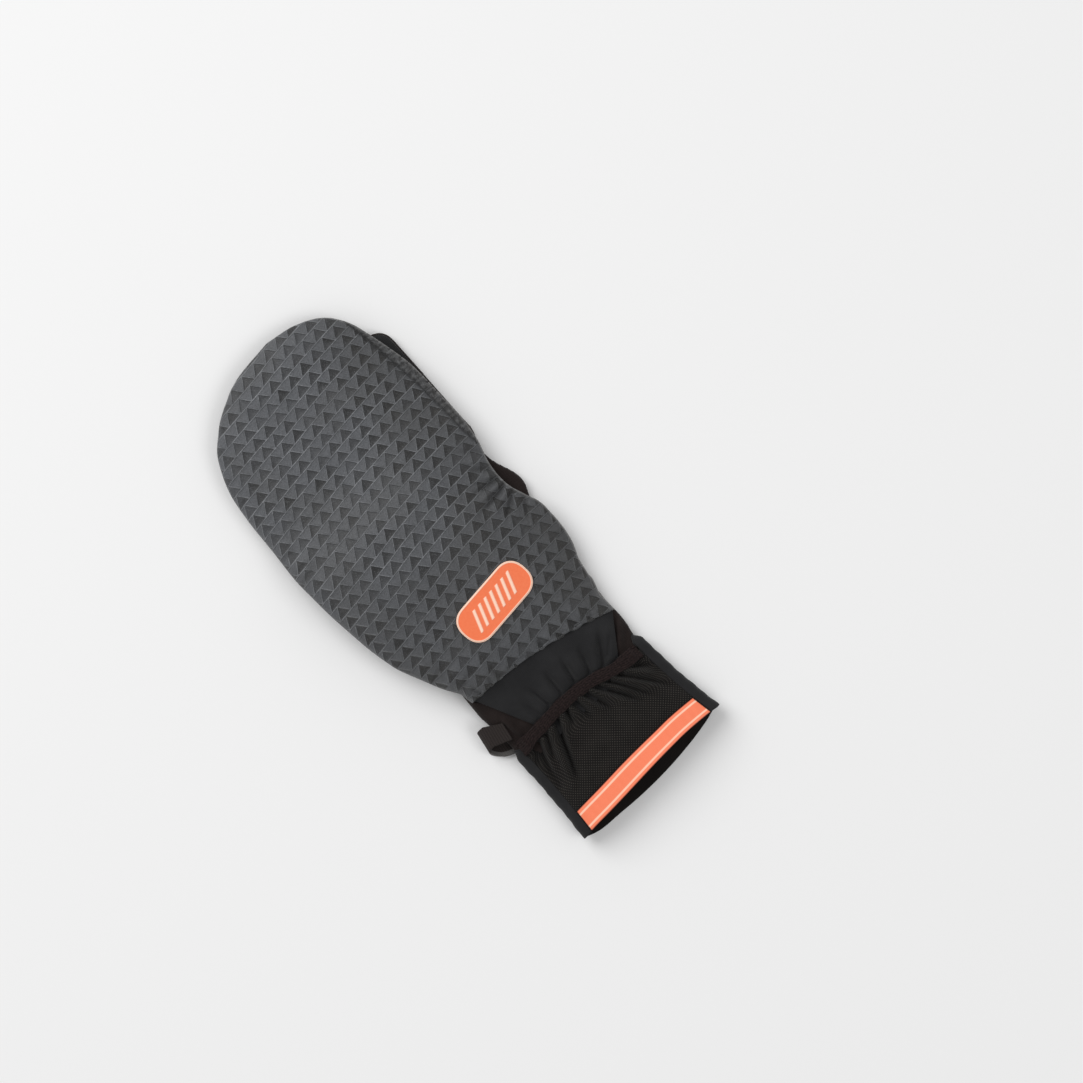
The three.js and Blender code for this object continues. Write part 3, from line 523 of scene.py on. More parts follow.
# The thumb: a tube of the palm's knit, closed at the tip, open at the root where it is sewn to the palm, and
# tucked flat under it.
root_y = thumb_root_y - 0.6 * thumb_width
reach = rows_to_tip(30, 20)
y = mix(root_y, thumb_tip_y, reach)
into = np.clip((y - thumb_tip_y + 0.6 * thumb_width) / (0.6 * thumb_width), 0, 1)
tip = np.clip(1 - into ** 2.2, 0.002, 1) ** 0.5
x = thumb_x + thumb_width / 2 * mix(1, 0.88, reach) * tip * around
z = thumb_height * (edge_share + around_part * around_rise * tip)
at_root = 1.6 * edge_share * thumb_height * (1 + around_rise)  # the least that the palm leaves it
z = np.minimum(z, np.maximum(thumb_lift(x, y) - seam_gap, at_root))
thumb_points = grid(x, y, z)
thumb_cells = tube_faces(*thumb_points.shape[:2], 0)
thumb = piece_of("thumb_tube", thumb_points, thumb_cells[:-2] + thumb_cells[-1:])
walled(thumb, cloth_wall)
fit(thumb, ["thumb"], hand_knit)


# The cuff: a gathered mesh panel on the back, a knitted panel on the palm side whose edge stands out past
# it, and two plain softshell strips sewn between them down the sides.
cuff_length = 50.0
mouth_width, mouth_height = 91.0, 16.5
mouth_skew, mouth_lip, mouth_bow = 1.1, 4.8, 1.3
strip_width, seam_lap = 5.0, 0.7
back_lap, palm_lap = 0.5, 0.4  # how deep the two panels' margins lie under the strips
binding_width, binding_thickness = 5.4, 2.2

# The binding's middle line: x as a share of the half wrist, y in its own widths from the wrist joint
binding_rows = [
    (-0.94, -0.06), (-0.6, 0.2), (-0.24, 0.37), (0, 0.3), (0.24, -0.02), (0.48, -0.56), (0.72, -0.74),
    (0.81, -0.8),
]
# The mesh's gathers: start x, y, end x, y, width, height; a valley's height is negative
mesh_gathers = [
    (-34, 46, -41, 34, 1.4, -2.2), (-31.5, 46, -40, 18, 1.8, -3.0), (-28.5, 46, -38, 24, 1.6, 2.0),
    (-25.5, 46, -33, 32, 1.3, -2.0), (-22, 46.5, -34, 16, 2.2, 2.7), (-17.5, 47.5, -33, 14, 1.8, -4.1),
    (-14, 48, -24, 28, 1.9, 2.7), (-10.5, 49, -13, 40, 1.2, -2.2), (-8, 50, -9, 40, 1.4, 1.9),
    (-5, 49, -4, 36, 1.6, -3.2), (-2, 49, 2, 34, 1.7, 2.6), (1.5, 48, 7, 31, 1.5, -3.0),
    (4.5, 47.5, 14, 29, 1.7, 2.6), (7.5, 46.5, 22, 22, 1.4, -3.2), (10.5, 46, 22, 29, 1.4, 2.0),
    (13, 45.5, 27, 21, 1.4, -3.0), (16, 44.5, 32, 23, 1.7, 2.4), (19, 43.5, 38, 18, 1.4, -2.7),
    (23, 42.5, 37, 27, 1.6, 2.2), (27.5, 41.5, 36.5, 34, 1.3, -2.2), (-38, 22, -8, 13.5, 3.0, 0.7),
    (34, 18, 8, 12.5, 3.0, 0.7),
]


def drawn_in(y):
    """0 at the mouth and 1 at the wrist, more quickly at first."""
    return 1 - (1 - np.clip(y / cuff_length, 0, 1)) ** 2


def cuff_half(y):
    """Half the cuff's width, which draws in towards the wrist."""
    return mix(mouth_width, wrist_width, drawn_in(y)) / 2


def cuff_middle(y):
    """The middle of the cuff, which leans to the thumb's side."""
    return -mix(0.011 * mouth_width, 0.024 * wrist_width, drawn_in(y))


def cuff_height(y):
    """How high the cuff stands."""
    return mix(mouth_height, wrist_height, np.clip(y / cuff_length, 0, 1))


def cuff_top(x, y):
    """The level of the cuff's back, without its folds."""
    share = (x - cuff_middle(y)) / cuff_half(y)
    return cuff_height(y) * mix(edge_share, 1, dome_rise(np.clip(share, -1, 1)))


def back_line(share):
    """The mouth's edge line on the back, which bows in a little on the little finger's side."""
    bow = smooth(-0.7, 0.3, share) * (1 - smooth(0.45, 1, share))
    return mouth_skew * (share - share ** 8) + mouth_bow * bow


def palm_line(share):
    """The mouth's edge line on the palm side, which stands out in a low arc, fuller at the thumb's side."""
    fuller = (1.1 + 1.4 * (1 - smooth(-0.95, -0.5, share))) * (1 - share ** 8)
    return 1.4 * mouth_skew * share - mouth_lip * (1 - share ** 2) - fuller


def binding_y(x):
    """The middle line of the wrist binding."""
    return wrist_y + binding_width * read(binding_rows, 2 * x / wrist_width, 1)


def mouth_bulge(share, y):
    """How the mouth's edge sags and lifts a little along its width."""
    return 0.5 * np.sin(5.2 * share + 0.6) * np.exp(-y / 14)


def cloth(name, points, length=None, cells=None):
    """A cloth panel over a grid of points in millimetres. Its UV map gives the distance across from the
    middle column and along from the first row, in millimetres, or along from 0 to the length, if that
    is given. The cells, if given, become a second UV map for the emboss. Points that meet are
    joined."""
    rows, columns = points.shape[:2]
    i = np.arange(rows * columns).reshape(rows, columns)
    faces = np.stack([i[:-1, :-1], i[:-1, 1:], i[1:, 1:], i[1:, :-1]], -1).reshape(-1, 4)
    piece = piece_of(name, points, faces.tolist())
    across = np.zeros((rows, columns))
    across[:, 1:] = np.cumsum(np.linalg.norm(np.diff(points, axis=1), axis=2), axis=1)
    across -= across[:, columns // 2][:, None]
    along = np.zeros((rows, columns))
    along[1:] = np.cumsum(np.linalg.norm(np.diff(points, axis=0), axis=2), axis=0)
    along = along if length is None else along / along[-1] * length
    maps = {"cloth": np.stack([across, along], -1)}
    if cells is not None:
        maps["emboss"] = cells
    for map_name, uv in maps.items():
        layer = piece.data.uv_layers.new(name=map_name)
        layer.data.foreach_set("uv", uv.reshape(-1, 2)[faces.ravel()].ravel())
    weld = bmesh.new()
    weld.from_mesh(piece.data)
    bmesh.ops.remove_doubles(weld, verts=weld.verts, dist=0.01 * MM)
    weld.to_mesh(piece.data)
    weld.free()
    return piece


def mark(piece, name, rule):
    """Stores a number at every point of a piece, which the rule works out from the point's x and y in
    millimetres."""
    x, y = spots_of(piece.data).T[:2]
    piece.data.attributes.new(name, "FLOAT", "POINT").data.foreach_set("value", rule(x, y))


def cuff_grid(columns, rows):
    """The shares across and along a panel of the cuff, as a row and a column."""
    return np.linspace(0, 1, columns)[None, :], np.linspace(0, 1, rows)[:, None]


def strip_share(y, gap):
    """Where the side strip ends on the back and palm, as a share of the half width."""
    return 1 - (strip_width + gap) / cuff_half(y)


def lapped(u):
    """1 on the margin that a panel laps under the side strips and 0 on the rest of it."""
    return smooth(0.96, 0.985, np.abs(mix(-1, 1, u)))


u, v = cuff_grid(240, 130)
near = v * (binding_y(0.0) - seam_gap)
share = mix(-1, 1, u) * strip_share(near, -seam_lap)
top_x = cuff_middle(cuff_length) + cuff_half(cuff_length) * share
y = mix(back_line(share), np.minimum(binding_y(top_x), wrist_y - seam_gap), v)
x = cuff_middle(y) + cuff_half(y) * share
held = (1 - smooth(0.8, 1, np.abs(mix(-1, 1, u)))) * smooth(12.5, 20, y)
z = cuff_top(x, y) + (creases(x, y, mesh_gathers) + 0.25) * held + mouth_bulge(share, y) * (1 - share ** 2)
cuff_mesh = cloth("cuff_mesh_panel", grid(x, y, z - back_lap * lapped(u)))
# Painted shade: the gathers' valleys are marked so that the weave's colour darkens in them.
mark(cuff_mesh, "painted_fold_shade", lambda x, y: np.clip(-creases(x, y, mesh_gathers) / 3, 0, 1))
walled(cuff_mesh, 0.9)

mesh_light, mesh_dark = (70, 66, 62), (4, 4, 4)
mesh_pitch = 1.15
mesh_weave = Finish("open mesh", 0.85, 0.05, specular=0.12)
spot = mesh_weave.on_cloth(np.radians(45))
strands = [mesh_weave.wave(spot, mesh_pitch, way, 0.8, Detail=1.0, **{"Detail Scale": 0.4}) for way in "XY"]
holes = mesh_weave.times(*strands)
mesh_shade = mesh_weave.math("ADD", mesh_weave.between(holes, 0.35, 0.8, 0.0, 0.7),
                             mesh_weave.times(mesh_weave.noise(spot, 9.0, 3.0), 0.22))
# Painted shade in the gathers' valleys darkens the weave's colour by up to 0.6 of it.
left_by_fold_shade = mesh_weave.math("MULTIPLY_ADD", mesh_weave.marked("painted_fold_shade"), -0.6, 1.0)
mesh_shade = mesh_weave.times(mesh_shade, left_by_fold_shade)
mesh_colour = mesh_weave.blend(mesh_shade, paint(*mesh_dark), paint(*mesh_light))
fit(cuff_mesh, ["cuff_mesh"], mesh_weave.finish(mesh_colour, holes, 0.35))


# The cuff's palm side: a plain brown-black knit panel, sewn to the strips at its sides. At the mouth its
# edge stands out past the back's. Its knit is a darker copy of the palm knit on the hand: painted shade
# for the inside of the cuff's mouth.
shaded_palm_knit = knit("palm knit", (31, 27, 25), (19, 16, 15), True, rib=1.0)

u, v = cuff_grid(80, 60)
share = mix(1, -1, u) * strip_share(v * cuff_length, -seam_lap)
y = mix(palm_line(share), wrist_y - seam_gap, v)
x = cuff_middle(y) + cuff_half(y) * share
round_turn = np.clip((np.abs(share) - flat_share) / (1 - flat_share), 0, 1)
z = edge_share * cuff_height(y) * (1 - np.sqrt(1 - round_turn ** 2))
cuff_palm = cloth("cuff_palm_panel", grid(x, y, z + palm_lap * lapped(u)))
walled(cuff_palm, cloth_wall)
fit(cuff_palm, ["cuff_palm"], shaded_palm_knit)


# The cuff's side strips: plain softshell, folded round the cuff's two sides and sewn between the mesh and
# the palm side's knit.
softshell = knit("softshell", softshell_light, softshell_dark, True, rib=0.8)
for side, strip_name, node, tuck in ((-1, "thumb_side_strip", "cuff_strip_thumb_side", 1.6),
                                     (1, "little_side_strip", "cuff_strip_little_side", 3.6)):
    u, v = cuff_grid(61, 80)
    inner = strip_share(v * cuff_length, 0)
    over = u < 0.5
    # By its angle the strip follows the dome across the back and the round corner below
    start = np.arcsin(inner ** (dome_power / 2))
    angle = mix(start, np.pi / 2, np.clip(2 * u, 0, 1))
    back_share, back_rise = dome_at(angle)
    end = np.arcsin(np.clip((inner - flat_share) / (1 - flat_share), 0, 1))
    turn = mix(np.pi / 2, end, np.clip(2 * u - 1, 0, 1))
    palm_share, palm_rise = flat_share + (1 - flat_share) * np.sin(turn), np.clip(np.cos(turn), 0, 1)
    share = np.where(over, back_share, palm_share) * side
    line = mix(back_line(share), palm_line(share), smooth(0.3, 0.7, u))
    y = mix(line, wrist_y - seam_gap + tuck * np.sin(np.pi * u) ** 0.7, v)
    edge = edge_share * cuff_height(y)
    z = np.where(over, edge + (cuff_height(y) - edge) * back_rise, edge * (1 - palm_rise))
    turned_in = smooth(0.9, 1, v)
    puff = 0.45 * np.sin(np.pi * np.clip(2 * u, 0, 1)) * (1 - turned_in)
    ripple = 0.22 * np.sin(0.62 * y + side) * np.sin(0.29 * y)
    x = cuff_middle(y) + cuff_half(y) * share + side * (ripple - 0.8 * tuck * turned_in) * np.sin(np.pi * u)
    points = grid(x, y, z + np.where(over, puff, 0))
    strip = cloth(strip_name, points if side > 0 else points[:, ::-1])
    walled(strip, cloth_wall)
    fit(strip, [node], softshell)


# The reflective band: an orange tape with two pale reflecting lines, stitched flat over the mesh along
# the mouth.
band_width, band_thickness = 11.3, 0.7
line_place, line_width = 2.2, 1.0  # of the pale lines, from the tape's edges
u, v = cuff_grid(200, 40)
share = mix(-1, 1, u) * strip_share(v * band_width, 2 * seam_gap)
y = back_line(share) + v * band_width * (1 - 0.07 * smooth(-0.3, 0.4, share)) + seam_gap / 2
x = cuff_middle(y) + cuff_half(y) * share
edge_fall = np.minimum(np.minimum(v, 1 - v) * band_width, (1 - np.abs(mix(-1, 1, u))) * mouth_width / 2)
ripple = 0.12 * np.sin(1.3 * x + 0.6 * np.sin(0.4 * x)) * np.sin(np.pi * v)
z = cuff_top(x, y) + 2 * seam_gap + band_thickness * (0.6 + 0.4 * smooth(0, 0.5, edge_fall)) + ripple
z = z + mouth_bulge(share, y) * (1 - share ** 2)
band = cloth("orange_tape", grid(x, y, z), band_width)
walled(band, 0.6 * band_thickness)
tape = Finish("orange tape", 0.45, specular=0.4)
along_tape = tape.parts(tape.on_cloth())[1]
from_edge = tape.math("MINIMUM", along_tape, tape.math("SUBTRACT", band_width, along_tape))
off_line = tape.math("ABSOLUTE", tape.math("SUBTRACT", from_edge, line_place))
on_line = tape.between(off_line, 0.5 * line_width - 0.15, 0.5 * line_width + 0.15, 1.0, 0.0)
# Painted shadow: a dark red-brown line just inside both stitched edges of the tape.
stitch_shadow = tape.between(from_edge, 0.2, 0.5, 1.0, 0.0)
grain = tape.noise(tape.on_cloth(), 0.6, 2.0)
tape_orange = tape.blend(grain, paint(247, 122, 84), paint(253, 140, 102))
tape_paint = tape.blend(on_line, tape_orange, paint(255, 200, 172))
tape_paint = tape.blend(tape.times(stitch_shadow, 0.75), tape_paint, paint(120, 40, 26))
fit(band, ["reflective_band"], tape.finish(tape_paint, grain, 0.05))


# The pocket panel: plain softshell between the hood's base seam and the wrist, gathered into the binding.
# Behind its slanting ends the palm's cloth comes up round the wrist.
pocket_length = 28.0
base_seam_y = wrist_y + pocket_length
seam_drop = 7.0
pocket_left, pocket_right = (-0.6, -0.94), (0.54, 0.92)  # foot and top, as shares of the half wrist
pocket_creases = [
    (-25, 55, -25, 66, 2.4, 1.0), (-21, 54, -24, 69, 1.8, -1.6), (-17.5, 54, -18.5, 70, 2.1, 1.8),
    (-14.5, 54, -17, 71, 1.3, -2.6), (-10.5, 54, -11, 69, 2.3, 1.7), (-7, 54, -5.5, 72, 1.2, -2.3),
    (-3, 54, -2, 69, 2.3, 1.6), (1, 53, 5, 71, 1.2, -2.5), (5, 53, 8, 68, 2.3, 1.7),
    (9, 52, 15.5, 69, 1.3, -2.5), (13, 52, 22, 68, 2.2, 1.7), (16, 51, 29, 69, 1.4, -2.3),
    (19.5, 51, 34, 66, 2.0, 1.4), (-33, 62, -25, 55, 2.0, 1.2), (-38, 76, -22, 60, 2.4, -0.7),
    (22, 54, 33, 64, 1.2, -1.6),
]


def seam_slant(share):
    """How far the hood's base seam drops from the thumb's to the little finger's side."""
    return seam_drop * (share + 0.5 * share ** 2)


u, v = cuff_grid(240, 90)
share = mix(-1, 1, u)
half_wrist = wrist_width / 2
foot_x = half_wrist * mix(pocket_left[0], pocket_right[0], u)
top_x = half_wrist * mix(pocket_left[1], pocket_right[1], u)
foot = binding_y(foot_x) + seam_gap
y = mix(foot, base_seam_y + 1.2 - seam_slant(share), v)
x = mix(foot_x, top_x, v)
ends = smooth(0, 0.05, u) * (1 - smooth(0.95, 1, u))
puff = 1.0 * (1 - share ** 2) * smooth(0.1, 0.3, v) * (1 - smooth(0.6, 1, v))
z = hand_top(x, np.maximum(y, wrist_y)) + 2 * seam_gap + cloth_wall * mix(0.5, 1, ends) + puff
z = z + creases(x, y, pocket_creases) * ends * smooth(0.02, 0.2, v)
pocket = cloth("pocket_cloth", grid(x, y, z))
walled(pocket, 1.0)
fit(pocket, ["pocket_panel"], softshell)


# The wrist binding: a narrow brown-black elastic, folded over the ends of the mesh and the pocket panel
# and sewn down, ribbed along its length.
u, v = cuff_grid(260, 40)
x = half_wrist * mix(binding_rows[0][0], binding_rows[-1][0], u)
fold = mix(-0.82, 0.82, v) * np.pi
across = np.sin(fold)
flare = 1.2 + 0.06 * np.sin(0.5 * x + 1.0) + 0.25 * smooth(20, 34, x) + 0.3 * smooth(-30, -39, x)
y = binding_y(x) + binding_width / 2 * across * flare
on_cuff = cuff_top(x, np.minimum(y, wrist_y))
on_pocket = hand_top(x, np.maximum(y, wrist_y)) + 2.5 * seam_gap + cloth_wall
dome = 0.5 + 0.5 * np.cos(fold)
pucker = 0.22 * np.sin(2.1 * x + 0.8 * np.sin(0.7 * x)) * dome ** 2
lying = mix(0.3, 1, smooth(0, 0.06, u) * (1 - smooth(0.94, 1, u)))
z = np.maximum(on_cuff, on_pocket) + seam_gap + (binding_thickness * dome + pucker) * lying
binding = cloth("wrist_elastic", grid(x, y, z))
walled(binding, 0.8)
elastic = Finish("ribbed elastic", 0.9, 0.05, specular=0.1)
spot = elastic.on_cloth()
ribs = elastic.wave(spot, 1.1, "Y", 0.5, Detail=1.0)
lint = elastic.between(elastic.noise(spot, 0.9, 3.0), 0.3, 0.7)
elastic_shade = elastic.math("ADD", elastic.times(ribs, 0.35), elastic.times(lint, 0.6))
elastic_finish = elastic.finish(elastic.blend(elastic_shade, paint(12, 8, 8), paint(46, 36, 35)), ribs, 0.14)
fit(binding, ["wrist_binding"], elastic_finish)


# The side tab: a strip of flat webbing, folded into a loop, whose two ends are sewn in at the wrist's
# thumb side.
tab_width, tab_reach, tab_thickness, tab_height = 10.6, 7.9, 1.2, 7.0
tab_place, tab_drop, tab_rise, tab_lean, tab_root = 14.8, 9.6, 5.5, 0.2, 4.2
tab_bend = (tab_height + tab_thickness) / 2  # the radius of the loop's outer turn
highlight_along, highlight_across = (14.0, 17.0), (-3.4, -2.9)  # where on the loop's fold a light streak is painted as a highlight
u, v = cuff_grid(24, 150)
turn = mix(np.pi / 2, -np.pi / 2, np.clip((v - 0.25) * 2, 0, 1))
leg = np.maximum(np.maximum(0.25 - v, v - 0.75), 0) * 4
reach = (tab_reach - tab_height / 2) * (1 - leg) + tab_bend * np.cos(turn) - tab_root * leg
across = tab_width / 2 * mix(-1, 1, u) * (1 - 0.16 * leg * (v < 0.5))
slide = tab_drop * smooth(0.36, 0.95, v) + np.where(v < 0.5, 0.45 * tab_drop * leg, 0)
x = -half_wrist - reach + tab_lean * across
y = wrist_y + tab_place - slide + across
z = tab_rise + tab_bend * np.sin(turn) + 0.15 * np.cos(3 * across / tab_width)
tab = cloth("tab_loop", grid(x, y, z))
walled(tab, tab_thickness)
webbing = Finish("woven tape", 0.8, 0.05, specular=0.2)
spot = webbing.on_cloth()
twill = webbing.math("MAXIMUM", webbing.wave(spot, 0.7, "X", 0.3), webbing.wave(spot, 1.3, "Y", 0.3))
webbing_shade = webbing.blend(twill, paint(26, 21, 20), paint(46, 40, 38))
parts = webbing.parts(spot)
# Painted highlight: a light streak on the outer turn of the loop's fold.
fold_highlight = webbing.times(webbing.between(parts[1], *highlight_along),
                           webbing.between(parts[0], *highlight_across, 1.0, 0.0))
webbing_shade = webbing.blend(webbing.times(fold_highlight, 0.9), webbing_shade, paint(98, 96, 94))
fit(tab, ["side_tab"], webbing.finish(webbing_shade, twill, 0.2))


# The mitten hood: softshell embossed with rows of small triangles, sewn to the back of the hand along its
# base seam and pulled over the fingers. Its palm panel comes up round the right edge as a narrow puckered
# strip.
hood_wall, hood_ease = 1.3, 0.7
hood_tip_round = 24.0
hood_slack, hood_tip_room = 8.7, 10.0
tip_y = crotch_y + middle_length + hood_tip_room
hood_length = tip_y - base_seam_y
hood_width = hand_width + hood_slack
over_little = little_height + 3 * seam_gap
hood_flat = 2 * hood_wall + 3.5 * hood_ease

# along the hood, left edge, right edge, how far the width is the wrist's
hood_rows = [
    (0, -0.476, 0.468, 1), (0.051, -0.494, 0.496, 1), (0.087, -0.479, 0.453, 0.6),
    (0.138, -0.472, 0.443, 0.2), (0.214, -0.502, 0.4395, 0), (0.265, -0.52, 0.436, 0),
    (0.301, -0.529, 0.413, 0), (0.342, -0.536, 0.39, 0), (0.378, -0.542, 0.386, 0),
    (0.418, -0.547, 0.395, 0), (0.469, -0.55, 0.423, 0), (0.52, -0.553, 0.4395, 0),
    (0.622, -0.54, 0.444, 0), (0.724, -0.525, 0.441, 0), (0.801, -0.4996, 0.417, 0),
    (0.852, -0.462, 0.396, 0), (0.888, -0.424, 0.378, 0), (0.918, -0.368, 0.352, 0),
    (0.944, -0.309, 0.318, 0), (0.964, -0.242, 0.2735, 0), (0.98, -0.179, 0.215, 0),
    (0.99, -0.108, 0.161, 0), (1, 0.054, 0.054, 0),
]


def side_end(y):
    """1 beside the little finger and 0 past its tip."""
    past = crotch_y + little_length
    return 1 - smooth(past + 0.1 * finger_pitch, past + finger_pitch, y)


def hood_side(x, y):
    """How far the hood lies over the little finger."""
    return little_side(x, y) * side_end(y)


def tip_round(y):
    """The hood's thickness near its tip, as a quarter circle."""
    into = np.clip((y - tip_y + hood_tip_round) / hood_tip_round, 0, 1)
    return np.sqrt(1 - into ** 2)


def hood_height(x, y):
    """How thick the hood is with the hand in it."""
    full = body_height(y) + lifted(y) + hood_layer
    return mix(full, hood_flat, hood_side(x, y)) * tip_round(y)


def hood_edge(x, y):
    """The level at which the hood's back and its palm panel meet."""
    tilt = (body_height(y) + 2 * hood_layer) * edge_share * (1 - tip_round(y))
    return thumb_lift(x, y) + hood_side(x, y) * over_little + tilt + edge_share * hood_height(x, y)


def hood_edges(y):
    """The left and right edge of the hood at y."""
    return edges_of(hood_rows, np.clip((y - base_seam_y) / hood_length, 0, 1), hood_width)


def hood_top(share, x, y):
    """The hood's back: its edge level plus the dome, and never lower than the hand in it."""
    rise = np.clip((1 - edge_share) * hood_height(x, y) - seam_gap / 2, 0, None)
    own = hood_edge(x, y) + seam_gap / 2 + rise * dome_rise(share)
    left, right = hand_edges(np.maximum(y, wrist_y))
    hand = hand_top(x, y) + hood_ease + 1.6 * hood_wall
    inside = smooth(left, left + 3, x) * (1 - smooth(right - 3, right, x))
    return mix(own, np.maximum(own, hand), inside * (1 - smooth(crotch_y - 16, crotch_y, y)))


def hood_swell(share, x, y):
    """The broad soft bulges of the hood's back."""
    return 0.5 * np.sin(0.055 * y + 0.03 * x) * np.sin(0.06 * x + 1.0) * (1 - share ** 2)


# Where the emboss lies on the cloth: the pitch of the columns and rows and the rows' slant
column_pitch, row_pitch = 8.25, 5.9
row_slant = np.radians(7.2)
column_start, row_start = 3.0, 1.4
ridge_width = 0.95


def emboss_cells(x, y):
    """Which triangle's cell a place lies in, across and up, with the place in the cell as the fraction.
    The rows rise to the right, less and closer together on the right half, and the cloth's stretch
    makes both wander."""
    right_half = np.maximum(x, 0) ** 2
    drift_x = 0.4 * np.sin(0.045 * y + 0.4) + 0.3 * np.sin(0.11 * y + 0.06 * x)
    drift_y = 0.4 * np.sin(0.05 * x + 0.03 * y) + 0.5 * creases(x, y, hood_folds)
    across = (x - column_start + 0.0014 * right_half + drift_x) / column_pitch + 0.5
    return across, (y - row_start - np.tan(row_slant) * x + 0.0011 * right_half + drift_y) / row_pitch


def run_down(x, y, z, axis):
    """How much longer the way over the cloth is than it looks from above, added up along the rows or
    the columns wherever the cloth is steep, so that the emboss keeps its size down the hood's sides and
    tip."""
    level, drop = np.hypot(np.diff(x, axis=axis), np.diff(y, axis=axis)), np.diff(z, axis=axis)
    longer = np.maximum(np.hypot(level, drop) - 1.1 * level, 0)
    return np.cumsum(np.insert(longer, 0, 0, axis=axis), axis=axis)


def emboss(x, y):
    """The relief: ridges along the rows and along both slopes of each upright triangle, with the
    upright triangle sunk below the level and the hanging one left at it."""
    a, b = emboss_cells(x, y)
    a, b = a - np.floor(a), b - np.floor(b)
    across, up = np.minimum(a, 1 - a) * column_pitch, b * row_pitch
    slope = (across * row_pitch - up * column_pitch / 2) / np.hypot(row_pitch, column_pitch / 2)
    row = np.minimum(up, row_pitch - up)
    ridge = np.exp(-(np.minimum(np.abs(slope), row) / ridge_width) ** 2)
    return 0.24 * ridge - 0.22 * smooth(0, 1.0, slope) * smooth(0, 1.0, row)


# Folds of the hood: start x, y, end x, y, width, height
hood_folds = [
    (43.5, 153, 27, 160, 1.3, 1.3), (43, 151, 24, 154, 1.0, -1.8), (42.8, 149, 21, 148.5, 1.3, 1.5),
    (43, 147, 20, 143.5, 1.0, -1.8), (43.5, 145, 25, 138, 1.3, 1.5), (44, 143, 29, 132, 1.0, -1.7),
    (45, 141.5, 33, 128, 1.4, 1.3), (46.5, 139, 38, 124, 1.1, -1.4), (43.5, 156, 31, 165, 1.1, -1.4),
    (44.5, 160, 31, 171, 1.5, 1.0), (45.5, 165, 34, 176, 1.2, -0.9), (21, 72, 19, 82, 1.2, -1.5),
    (24, 72, 26, 84, 1.6, 1.1), (27.5, 71.5, 31, 80, 1.2, -0.9), (17, 73.5, 12, 84, 1.7, 1.0),
    (13, 74.5, 8, 82, 1.1, -1.0), (6, 76.5, 7, 84, 1.4, 0.8), (2, 77.5, 1, 84, 1.1, -0.9),
    (-6, 79.5, -5, 86, 1.4, 0.7), (-35, 81.5, -36, 90, 1.2, -1.3), (-31.5, 81.5, -30, 91, 1.6, 1.0),
    (-28, 81.5, -26, 88, 1.1, -1.0), (-22.5, 81.5, -23, 90, 1.2, -1.2), (-18, 81, -15, 90, 1.7, 0.9),
    (-13, 80.5, -13, 86, 1.1, -0.9), (-42.5, 88, -28, 96, 1.4, -1.0), (-45.5, 95, -30, 101, 1.6, 1.0),
    (-49, 101, -34, 107, 1.4, -0.9), (-52, 109, -38, 113, 1.8, 0.7), (-61, 178, -44, 182, 1.6, -0.8),
    (-61, 186, -45, 187, 2.0, 0.8), (-60.5, 193, -48, 193, 1.5, -0.7), (41.5, 82, 30, 88, 1.5, 0.9),
    (42, 90, 32, 95, 1.3, -0.9), (46, 99, 35, 102, 1.6, 0.8), (48.5, 112, 38, 112, 1.6, -0.7),
    (-58, 130, -40, 128, 2.4, 0.6),
]
# The seam between the hood's back and the strip of its palm panel: x at y
strip_seam_rows = [
    (165, 47.5), (172, 46.3), (180, 45.5), (190, 45.6), (200, 45.3), (210, 45), (220, 44.3), (230, 43.3),
    (240, 42.3), (247, 41.3), (255, 40.3), (262, 38.0),
]


def past_seam(x, y):
    """How far to the right of the strip's seam a place lies."""
    return x - read(strip_seam_rows, y, 1)


def beside_strip(y):
    """1 along the strip and 0 past its ends."""
    return smooth(166, 172, y) * (1 - smooth(258, 264, y))


# The columns lie evenly along the dome's arc
dome_height = 9.0
arc_share, arc_rise = dome_at(np.linspace(-np.pi / 2, np.pi / 2, 4001))
arc_steps = np.hypot(np.diff(arc_share) * hood_width / 2, np.diff(arc_rise) * dome_height)
arc = np.concatenate([[0], np.cumsum(arc_steps)])
share = np.interp(np.linspace(0, arc[-1], 158), arc, arc_share)[None, :]
straight = mix(base_seam_y + seam_gap, tip_y, rows_to_tip(262, 26, 0.05))
y = straight - seam_slant(share) * (1 - smooth(base_seam_y, crotch_y - finger_pitch, straight))
left, right = hood_edges(y)
x = mix(left, right, (share + 1) / 2)
hem = np.exp(-((straight - base_seam_y) / 1.1) ** 2)
strip_run = smooth(164, 172, y) * (1 - smooth(256, 264, y))
on_strip = smooth(0, 0.8, past_seam(x, y)) * strip_run
groove = np.exp(-(past_seam(x, y) / 0.8) ** 2) * strip_run
puckers = 0.6 * np.sin(1.9 * y + 0.9 * np.sin(0.8 * y) + 0.5 * x) * on_strip
quiet = (1 - smooth(0.93, 0.995, np.abs(share))) * (1 - hem) * smooth(0, 6, tip_y - y)
base = hood_top(share, x, y)
to_side = run_down(x, y, base, 1)
cloth_x, cloth_y = x + to_side - to_side[:, [x.shape[1] // 2]], y + run_down(x, y, base, 0)
relief = emboss(cloth_x, cloth_y) * quiet * (1 - on_strip)
run_out = (1 - hem) * (1 - np.abs(share) ** 30)
z = base + relief + creases(x, y, hood_folds) * run_out + hood_swell(share, x, y) * (1 - hem)
stitch = 0.25 * np.sin(1.9 * x + 0.7 * np.sin(0.5 * x)) * np.exp(-((straight - base_seam_y - 1.8) / 1.2) ** 2)
z = z - 1.0 * groove + puckers - 0.5 * np.exp(-((straight - base_seam_y - 1.6) / 0.8) ** 2) + stitch
cells = np.stack(emboss_cells(cloth_x, cloth_y), -1) + 100  # so that no cell's number is negative
hood_back = cloth("hood_back_panel", grid(x, y, z), cells=cells)
